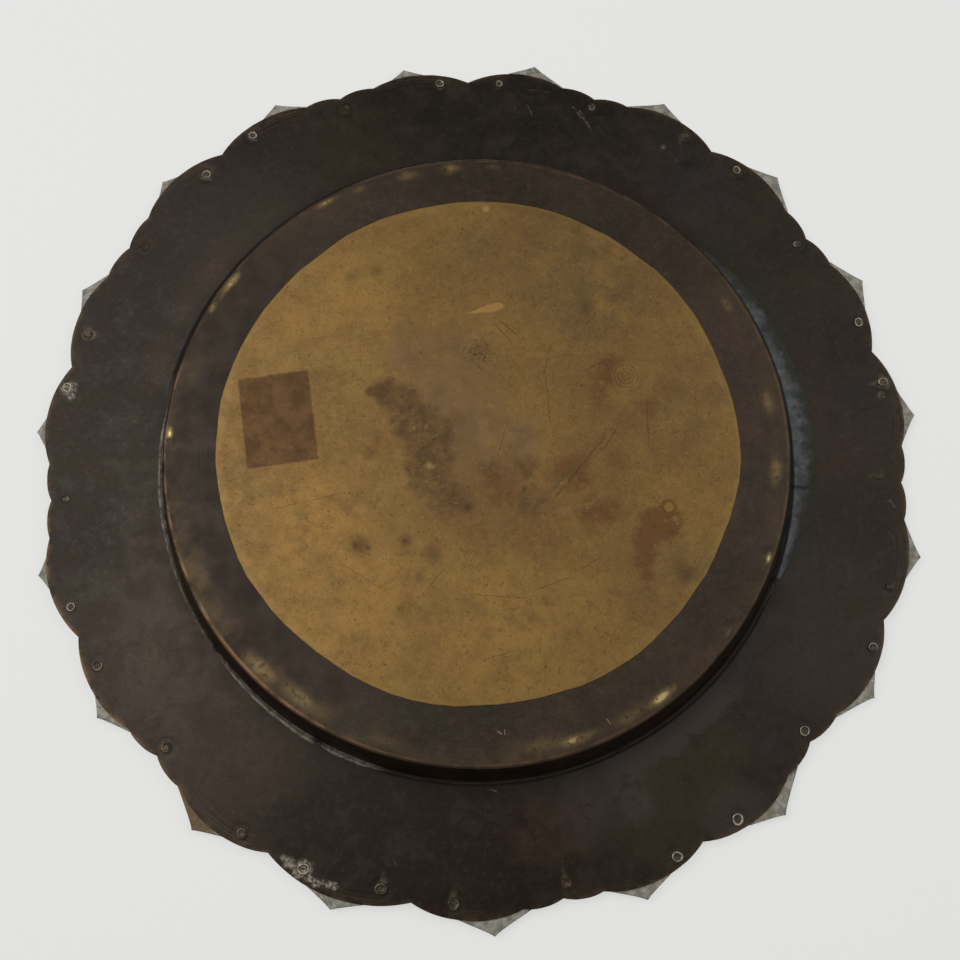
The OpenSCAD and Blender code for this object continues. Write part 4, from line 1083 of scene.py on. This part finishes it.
def motif(d, r):
    """Height in mm of the pressed pattern at d degrees from a point's middle line."""
    X, Y = r * sind(d), r * cosd(d)
    z = np.zeros_like(r)
    # pointed arch
    k = np.linspace(-1, 1, 61)
    dd = 8.0 * np.sign(k) * np.abs(k) ** 1.1
    rr = arch_r(dd, 8.0, 177.5, TIP_R - 13)
    dist = curve_distance(X, Y, rr * sind(dd), rr * cosd(dd))
    inside = r < arch_r(np.clip(d, -7.99, 7.99), 8.0, 177.5, TIP_R - 13)
    inside &= np.abs(d) < 8.0
    z = np.maximum(z, dome(dist, 1.25, 1.15))
    z = np.maximum(z, np.where(inside, dome(dist - 3.0, 0.55, 0.5), 0))
    # a row of grains between the two ridges would be too fine to press: leave it plain
    # flower of eight petals
    fx, fy = X, Y - 192
    rho, phi = np.hypot(fx, fy), np.arctan2(fx, fy)
    c = np.abs(np.cos(4 * phi))
    rp = 4.2 + 6.0 * c ** 0.8
    q = rho / rp
    pet = np.where(q < 1, 1.15 * np.sqrt(np.clip(1 - q ** 2.4, 0, 1)), 0)
    vein = np.exp(-(np.abs(np.sin(4 * phi)) * rho / 4 / 0.32) ** 2) * smooth(rho, 3.6, 5.0) * (1 - smooth(rho, 8.2, 9.4)) * (c > 0.5)
    pet = pet - 0.3 * vein * (q < 1)
    z = np.maximum(z, pet)
    z = np.maximum(z, dome(rho, 3.4, 1.8) + 0)
    z = np.maximum(z, dome(rho - 4.1, 0.5, 0.95))
    # stem, leaves, bud and grains
    z = np.maximum(z, dome(curve_distance(X, Y, np.array([0, 0.6, 0]), np.array([182.5, 180, 177.5])), 0.8, 0.7))
    for sgn in (-1, 1):
        z = np.maximum(z, leaf(X, Y, sgn * 7.6, 182.4, 90 - sgn * 52, 5.4, 2.3, 0.95))
        z = np.maximum(z, leaf(X, Y, sgn * 13.6, 187.6, 90 - sgn * 28, 5.0, 2.0, 0.9))
        z = np.maximum(z, leaf(X, Y, sgn * 14.0, 197.6, 90 + sgn * 14, 3.6, 1.6, 0.8))
        for gx, gy, gr in ((4.2, 204.2, 1.0), (7.6, 201.6, 0.9), (17.6, 181.6, 1.1), (20.4, 184.6, 0.9)):
            z = np.maximum(z, dome(np.hypot(X - sgn * gx, Y - gy), gr, 0.75))
    z = np.maximum(z, leaf(X, Y, 0, 207.4, 90, 4.2, 1.7, 1.0))
    # scrolls that fill the corners between neighbouring arches
    for sgn in (-1, 1):
        th = np.linspace(0, 2 * math.pi * 1.6, 46)
        sr = 4.6 * (1 - th / th[-1]) ** 0.8 + 0.25
        cx0, cy0 = 205.5 * math.sin(math.radians(sgn * 7.7)), 205.5 * math.cos(math.radians(sgn * 7.7))
        px = cx0 + sgn * sr * np.cos(th - 0.6)
        py = cy0 + sr * np.sin(th - 0.6)
        z = np.maximum(z, dome(curve_distance(X, Y, px, py), 0.85, 0.85))
        z = np.maximum(z, dome(np.hypot(X - cx0, Y - cy0), 1.3, 1.0))
        tail = np.linspace(0, 1, 12)
        ax, ay = 182.0 * math.sin(math.radians(sgn * 9.1)), 182.0 * math.cos(math.radians(sgn * 9.1))
        qx = ax + (px[0] - ax) * tail + sgn * 1.6 * np.sin(np.pi * tail)
        qy = ay + (py[0] - ay) * tail
        z = np.maximum(z, dome(curve_distance(X, Y, qx, qy), 0.8, 0.75))
        z = np.maximum(z, leaf(X, Y, 188.0 * math.sin(math.radians(sgn * 8.5)), 188.0 * math.cos(math.radians(sgn * 8.5)), 90 + sgn * 20, 4.0, 1.3, 0.7))
    # row of small petals round the inner edge
    w = STEP / 9
    dm = (d + STEP / 2) % w - w / 2
    z = np.maximum(z, np.where(r < 177, dome(np.hypot(dm / (0.46 * w), (r - 172.6) / 4.0), 1.0, 0.8), 0))
    return z


def silver_panel(p):
    s = span_a(p)
    n = int(round(s / 0.16))
    v = 0.06 + (s - 0.12) * np.arange(n + 1) / n
    edge = silver_edge(p, v)
    a = start_a(p) + v
    inner = DRUM_R + 0.2
    rows = 96
    t = np.linspace(0, 1, rows) ** 0.9
    R = inner + (edge[:, None] - 0.25 - inner) * t[None, :]
    j = np.clip(np.floor(v / STEP), 0, tip_count(p) - 1)
    d = (v - (j + 0.5) * STEP)[:, None] + 0 * R
    Z = motif(d, R)
    E = edge[:, None] - R
    # beads along the outer edge, inside a thin ridge
    sarc = np.concatenate([[0], np.cumsum(np.hypot(np.diff(edge * np.cos(np.radians(v))), np.diff(edge * np.sin(np.radians(v)))))])
    pitch = sarc[-1] / max(1, round(sarc[-1] / 3.3))
    sm = (sarc % pitch) - pitch / 2
    bead = dome(np.hypot((E - 2.3) / 1.25, sm[:, None] / 1.25), 1.0, 0.8)
    ridge = dome(E - 4.6, 0.6, 0.5)
    border = np.maximum(bead, ridge)
    G = a[:, None] + 0 * R
    X, Y = around(R, G)
    # the border fades where it would meet the arch, and all of it under the rivets
    Z = np.maximum(Z * smooth(E, 4.9, 6.2), border)
    for ra, rr, kind in rivet_places(p):
        rx, ry = around(rr, ra)
        dd = np.hypot(X - rx, Y - ry)
        Z = Z * smooth(dd, 3.2, 4.4)
    Z = Z * smooth(v, 0.0, 0.25)[:, None] * smooth(s - v, 0.0, 0.25)[:, None]
    relief = Z / 1.0
    wav = 0.10 * value_noise(X, Y, 26, 40 + p, 2) * smooth(R, 174, 180)
    top = TOP_Z + Z + wav
    # underside: plain sheet, with a faint crease under each point
    tipd = np.zeros_like(R) + 99.0
    for jj in range(tip_count(p)):
        i = first_tip(p) + jj
        tipd = np.minimum(tipd, np.abs(v - (jj + 0.5) * STEP - LEAN[i % TIPS])[:, None] * R * math.pi / 180)
    crease = 0.30 * np.exp(-(tipd / 0.9) ** 2) * smooth(R, 214, 224)
    bot = SILVER_Z + wav * smooth(R, 212, 222) + crease + 0.05 * value_noise(X, Y, 5, 60 + p, 2) * smooth(R, 212, 220)
    bot = np.maximum(bot, SILVER_Z - 0.05)
    # a section runs up the top, over the edge, and back along the underside
    keep = np.unique(np.concatenate([np.arange(0, rows - 34, 8), np.arange(rows - 34, rows, 1)]))
    Rb, bot, Xb, Yb = R[:, keep], bot[:, keep], X[:, keep], Y[:, keep]
    xe, ye = around(edge, a)
    ze0, ze1 = bot[:, -1], top[:, -1]
    e1 = np.stack([xe, ye, ze1 * 0.75 + ze0 * 0.25], -1)
    e2 = np.stack([xe, ye, ze1 * 0.3 + ze0 * 0.7], -1)
    T = np.stack([X, Y, top], -1)
    B = np.stack([Xb, Yb, bot], -1)[:, ::-1]
    P = np.concatenate([T, e1[:, None], e2[:, None], B], 1)
    U, V = P.shape[:2]
    u, w_ = np.meshgrid(np.arange(U - 1), np.arange(V), indexing="ij")
    w2 = (w_ + 1) % V
    quads = np.stack([u * V + w_, (u + 1) * V + w_, (u + 1) * V + w2, u * V + w2], -1).reshape(-1, 4)
    # ends of the panel: strips between top and underside
    caps = []
    botn = V - rows - 2
    for uu in (0, U - 1):
        loop = [uu * V + q for q in range(V)]
        caps.append(loop)
    relief_all = np.concatenate([relief, np.full((U, 2), 0.5), np.zeros((U, botn))], 1)
    back_all = np.concatenate([np.zeros_like(relief), np.full((U, 1), 0.3), np.full((U, 1), 0.9), np.ones((U, botn))], 1)
    # each cap is a fan of triangles between matching stations
    cap_quads, cap_tris = [], []
    for loop in caps:
        lo, hi = 0, V - 1
        # top station index for each kept underside station
        top_idx = list(keep)
        for q in range(len(keep) - 1):
            t0, t1 = top_idx[q], top_idx[q + 1]
            b0, b1 = V - 1 - q, V - 2 - q
            for tt in range(t0, t1):
                cap_tris.append((loop[tt], loop[tt + 1], loop[b0]))
            cap_tris.append((loop[t1], loop[b1], loop[b0]))
        # outer end
        cap_tris.append((loop[rows - 1], loop[rows], loop[rows + 2]))
        cap_tris.append((loop[rows], loop[rows + 1], loop[rows + 2]))
    name = "silver_panel_single" if p == 9 else f"silver_panel_{p + 1}"
    ob = new_mesh(name + "_pressed", P.reshape(-1, 3), quads, cap_tris, attrs={"relief": relief_all, "back": back_all}, sharp=50)
    return ob, name


# ---------------------------------------------------------------- rivets
def rivets(kind, seed):
    # how worn, how wide and how coppery each rolled end is, in the order of RIVETS
    wear_of = [0.8, 0.4, 0.5, 0.8, 0.95, 0.5, 0.85, 0.05, 0.1, 0.6, 1.0, 0.85, 0.85, 0.4, 0.25, 0.45, 0.6, 0.5, 0.9, 1.2, 0.4, 0.4, 0.85, 0.3, 1.0, 0.75, 0.35, 0.45, 1.2]
    size_of = [0.8, 0.85, 0.85, 0.95, 0.98, 0.88, 1.05, 0.85, 0.8, 0.98, 1.15, 1.02, 1.05, 1.15, 0.95, 1.0, 1.05, 1.0, 0.9, 1.0, 0.85, 0.95, 1.0, 0.9, 0.95, 0.95, 0.66, 1.15, 1.15]
    warm_of = [0.1, 0.6, 0.4, 0.2, 0.1, 0.0, 0.4, 0.2, 0.3, 0.2, 0.0, 0.2, 0.1, 0.6, 0.7, 0.8, 0.6, 0.8, 0.1, 0.0, 0.2, 0.5, 0.2, 0.6, 0.0, 0.3, 0.2, 0.6, 0.1]
    S = 40
    ph = np.arange(S) * 2 * math.pi / S
    b, f = RING_Z, TOP_Z
    verts, quads, tris, crest, warmth = [], [], [], [], []
    base = 0
    for n, (ra, rr, k, p) in enumerate(RIVETS):
        if k != kind:
            continue
        rng = np.random.RandomState(seed * 50 + n)
        cx, cy = around(rr, ra)
        hgt = 0.55 + 0.3 * rng.rand()
        # rolled-over end on the back, with a recess
        prof = [(0.0, b - 0.02, 0), (0.9, b - 0.04, 0), (1.3, b - 0.10, 0.0), (1.55, b - 0.22, 0.2), (1.74, b - hgt * 0.80, 0.7), (1.94, b - hgt, 1.0), (2.16, b - hgt * 0.98, 1.0),
                (2.38, b - hgt * 0.70, 0.7), (2.54, b - 0.15, 0.2), (2.6, b + 0.35, 0.0), (1.6, b + 0.5, 0), (1.6, f, 0), (3.0, f, 0.2), (3.0, f + 0.16, 0.6), (2.8, f + 0.45, 0.9), (2.3, f + 0.78, 1.0), (1.5, f + 1.06, 1.0), (0.7, f + 1.19, 1.0), (0.0, f + 1.22, 1.0)]
        prof = np.array(prof)
        body = prof[1:-1]
        squash = 1 + 0.06 * rng.randn()
        phase = rng.rand() * 6.28
        uneven = 0.14 + 0.22 * rng.rand()
        R = np.tile(body[:, 0], (S, 1))
        Z = np.tile(body[:, 1], (S, 1))
        onback = (body[:, 1] < b + 0.4)[None, :]
        R = np.where(onback, R * size_of[n], R)
        onring = ((body[:, 1] < b - 0.15) & (body[:, 0] > 1.5))[None, :]
        lob = uneven * np.cos(ph - phase) + 0.10 * np.cos(2 * ph + phase * 2) + 0.06 * np.cos(5 * ph + phase * 3)
        Z = Z + onring * lob[:, None] * 0.55
        R = R * (1 + onring * (0.05 * np.cos(ph + phase) + 0.03 * np.cos(3 * ph + phase))[:, None])
        X = cx + R * np.cos(ph)[:, None] * squash
        Y = cy + R * np.sin(ph)[:, None] / squash
        m = len(body)
        V = np.concatenate([np.stack([X, Y, Z], -1).reshape(-1, 3), [[cx, cy, prof[0, 1]], [cx, cy, prof[-1, 1]]]])
        u, w = np.meshgrid(np.arange(S), np.arange(m - 1), indexing="ij")
        u2 = (u + 1) % S
        quads.append(np.stack([u * m + w, u2 * m + w, u2 * m + w + 1, u * m + w + 1], -1).reshape(-1, 4) + base)
        q = np.arange(S)
        q2 = (q + 1) % S
        tris.append(np.stack([np.full(S, S * m), q2 * m, q * m], -1) + base)
        tris.append(np.stack([np.full(S, S * m + 1), q * m + m - 1, q2 * m + m - 1], -1) + base)
        cr = np.tile(body[:, 2], (S, 1)) * np.clip(wear_of[n] * (1 + 0.35 * np.cos(ph - phase)[:, None]), 0, 1.2)
        cr = np.where((body[:, 1] > f - 0.1)[None, :], body[None, :, 2], cr)
        crest.append(np.concatenate([cr.ravel(), [0.0, 1.0]]))
        warmth.append(np.full(S * m + 2, warm_of[n]))
        verts.append(V)
        base += len(V)
    return new_mesh(f"{kind}_rivets_rolled", np.concatenate(verts), np.concatenate(quads), np.concatenate(tris), attrs={"crest": np.concatenate(crest), "warm": np.concatenate(warmth)}, sharp=60)


# ---------------------------------------------------------------- border wire
def border_wire():
    A, S = 2592, 20
    a = np.arange(A) * (360.0 / A)
    th = np.arange(S) * 2 * math.pi / S
    strands = 216
    ph = np.radians(a)[:, None] * strands
    rad = 1.75 + 0.42 * np.abs(np.cos((th[None, :] + ph) / 2 * 1.0 * 2 / 2 * 2)) ** 0.8
    rc = LIP_R + 2.3
    zc = TOP_Z + 1.35
    R = rc + rad * np.cos(th)[None, :]
    Z = zc + rad * np.sin(th)[None, :]
    Z = np.maximum(Z, TOP_Z - 0.05)
    X, Y = around(R, a[:, None])
    P = np.stack([X, Y, Z], -1)
    rel = np.clip((rad - 1.75) / 0.42, 0, 1) * np.clip(np.sin(th)[None, :] + 0.5, 0, 1)
    return new_mesh("border_wire_twisted", P.reshape(-1, 3), torus_faces(A, S), attrs={"relief": rel, "back": np.zeros_like(rel)}, sharp=70)


mats = {
    "copper": copper_material(), "drum": drum_material(), "disc": disc_material(), "solder": solder_material(),
    "silver": silver_material("pressed_silver", "#b9b6ac", "#2c2822", 71), "wire": silver_material("silver_wire", "#b4b1a7", "#2a2621", 76),
    "rivet": rivet_material(), "plate": field_material("playing_plate_metal", "#4a3822", "#5d472a", "#2a2017", 101),
    "field": field_material("star_brass", "#8d6a33", "#a8834a", "#4c3517", 111), "homesilver": field_material("home_silver", "#8e8b83", "#b3b0a6", "#3f3b34", 121),
    "homecopper": field_material("home_copper", "#74482f", "#926047", "#3a2318", 131), "wood": wood_material(),
}

piece(rim_ring(), "copper_patina", mats["copper"], "rim_ring")
piece(well_pan(), "brass_patina", mats["drum"], "well_pan")
piece(backing_disc(), "brass_disc", mats["disc"], "backing_disc")
piece(solder(), "solder", mats["solder"], "solder_fillet")
for p in range(10):
    ob, node = silver_panel(p)
    piece(ob, "silver_sheet", mats["silver"], node)
piece(rivets("end", 1), "rivet_metal", mats["rivet"], "end_rivets")
piece(rivets("middle", 2), "rivet_metal", mats["rivet"], "middle_rivets")
piece(border_wire(), "silver_sheet", mats["wire"], "border_wire")
for node, key in (("playing_plate", "plate"), ("star_field", "field"), ("packing_disc", "wood"),
                  ("home_point_1", "homesilver"), ("home_point_3", "homesilver"), ("home_point_5", "homesilver"),
                  ("home_point_2", "homecopper"), ("home_point_4", "homecopper"), ("home_point_6", "homecopper")):
    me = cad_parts[node].data
    me.materials.clear()
    me.materials.append(mats[key])

# ---------------------------------------------------------------- stage
# The board is shown lying on its face on a pale surface when seen from below, and
# standing on its foot on another when seen from above. Each surface shows only on
# its own side and casts nothing, so neither hides the board nor takes its light.
def floor(name, z, up):
    h = 12.0
    pts = [(-h, -h, z), (h, -h, z), (h, h, z), (-h, h, z)]
    if not up:
        pts = pts[::-1]
    me = bpy.data.meshes.new(name)
    me.from_pydata(pts, [], [(0, 1, 2, 3)])
    me.update()
    ob = bpy.data.objects.new(name, me)
    scene.collection.objects.link(ob)
    mt = bpy.data.materials.new(name)
    mt.use_nodes = True
    t = mt.node_tree
    t.nodes.clear()
    out = t.nodes.new("ShaderNodeOutputMaterial")
    dif = t.nodes.new("ShaderNodeBsdfDiffuse")
    dif.inputs["Color"].default_value = (0.27, 0.27, 0.266, 1)
    own = t.nodes.new("ShaderNodeEmission")
    own.inputs["Color"].default_value = (0.56, 0.56, 0.554, 1)
    both = t.nodes.new("ShaderNodeAddShader")
    t.links.new(dif.outputs[0], both.inputs[0])
    t.links.new(own.outputs[0], both.inputs[1])
    tr = t.nodes.new("ShaderNodeBsdfTransparent")
    geo = t.nodes.new("ShaderNodeNewGeometry")
    mix = t.nodes.new("ShaderNodeMixShader")
    t.links.new(geo.outputs["Backfacing"], mix.inputs[0])
    t.links.new(both.outputs[0], mix.inputs[1])
    t.links.new(tr.outputs[0], mix.inputs[2])
    t.links.new(mix.outputs[0], out.inputs[0])
    me.materials.append(mt)
    ob.visible_diffuse = False
    ob.visible_glossy = False
    ob.visible_shadow = False
    return ob


floor("floor_below", -0.0001, True)
floor("floor_above", 0.0332, False)

world = bpy.data.worlds.new("studio")
scene.world = world
world.use_nodes = True
wt = world.node_tree
wt.nodes["Background"].inputs[0].default_value = (0.82, 0.82, 0.815, 1)
wt.nodes["Background"].inputs[1].default_value = 0.35
# the horizon behind the floor has the floor's own brightness
wall = wt.nodes.new("ShaderNodeBackground")
wall.inputs[0].default_value = (0.68, 0.68, 0.674, 1)
sees = wt.nodes.new("ShaderNodeLightPath")
wmix = wt.nodes.new("ShaderNodeMixShader")
wt.links.new(sees.outputs["Is Camera Ray"], wmix.inputs[0])
wt.links.new(wt.nodes["Background"].outputs[0], wmix.inputs[1])
wt.links.new(wall.outputs[0], wmix.inputs[2])
wt.links.new(wmix.outputs[0], wt.nodes["World Output"].inputs[0])


def area(name, loc, size, power, color=(1, 1, 1), target=(0, 0, 0.015)):
    li = bpy.data.lights.new(name, "AREA")
    li.shape = "DISK"
    li.size = size
    li.energy = power
    li.color = color
    ob = bpy.data.objects.new(name, li)
    scene.collection.objects.link(ob)
    ob.location = loc
    d = Vector(target) - Vector(loc)
    ob.rotation_euler = d.to_track_quat("-Z", "Y").to_euler()
    return ob


# under the board, for the view of its back
area("low_key", (0.60, 0.22, -1.13), 1.0, 8.1)
area("low_fill", (-0.8, 0.25, -1.0), 1.2, 4.2, (0.97, 0.98, 1.0))
# over the board, for the views of its playing side
area("high_key", (-0.8, -0.8, 1.2), 1.0, 18)
area("high_fill", (1.2, -0.3, 0.9), 1.2, 8, (0.95, 0.97, 1.0))
area("high_rim", (0.2, 1.3, 0.8), 1.0, 9)

# ---------------------------------------------------------------- camera
# Camera of the view: 1107.6 px focal length in a 960 px frame, below the board,
# tilted 13 degrees towards +Y, up along +Y.
rx, ry = -0.23121, 0.00812
R = (Matrix.Rotation(ry, 3, "Y") @ Matrix.Rotation(rx, 3, "X")).transposed()
loc = -(R @ Vector((-0.00711, 0.05062, -2.47784)))
D = Matrix(((-1, 0, 0), (0, 1, 0), (0, 0, -1)))
cam_data = bpy.data.cameras.new("view")
cam_data.sensor_width = 36.0
cam_data.lens = 36.0 * 1107.6 / 960.0
cam_data.clip_start = 0.01
cam = bpy.data.objects.new("view", cam_data)
scene.collection.objects.link(cam)
cam.matrix_world = Matrix.Translation(D @ (loc * 0.230) + Vector((0, 0, 0.027))) @ (D @ R).to_4x4()
scene.camera = cam
scene.view_settings.view_transform = "Standard"
scene.view_settings.look = "None"
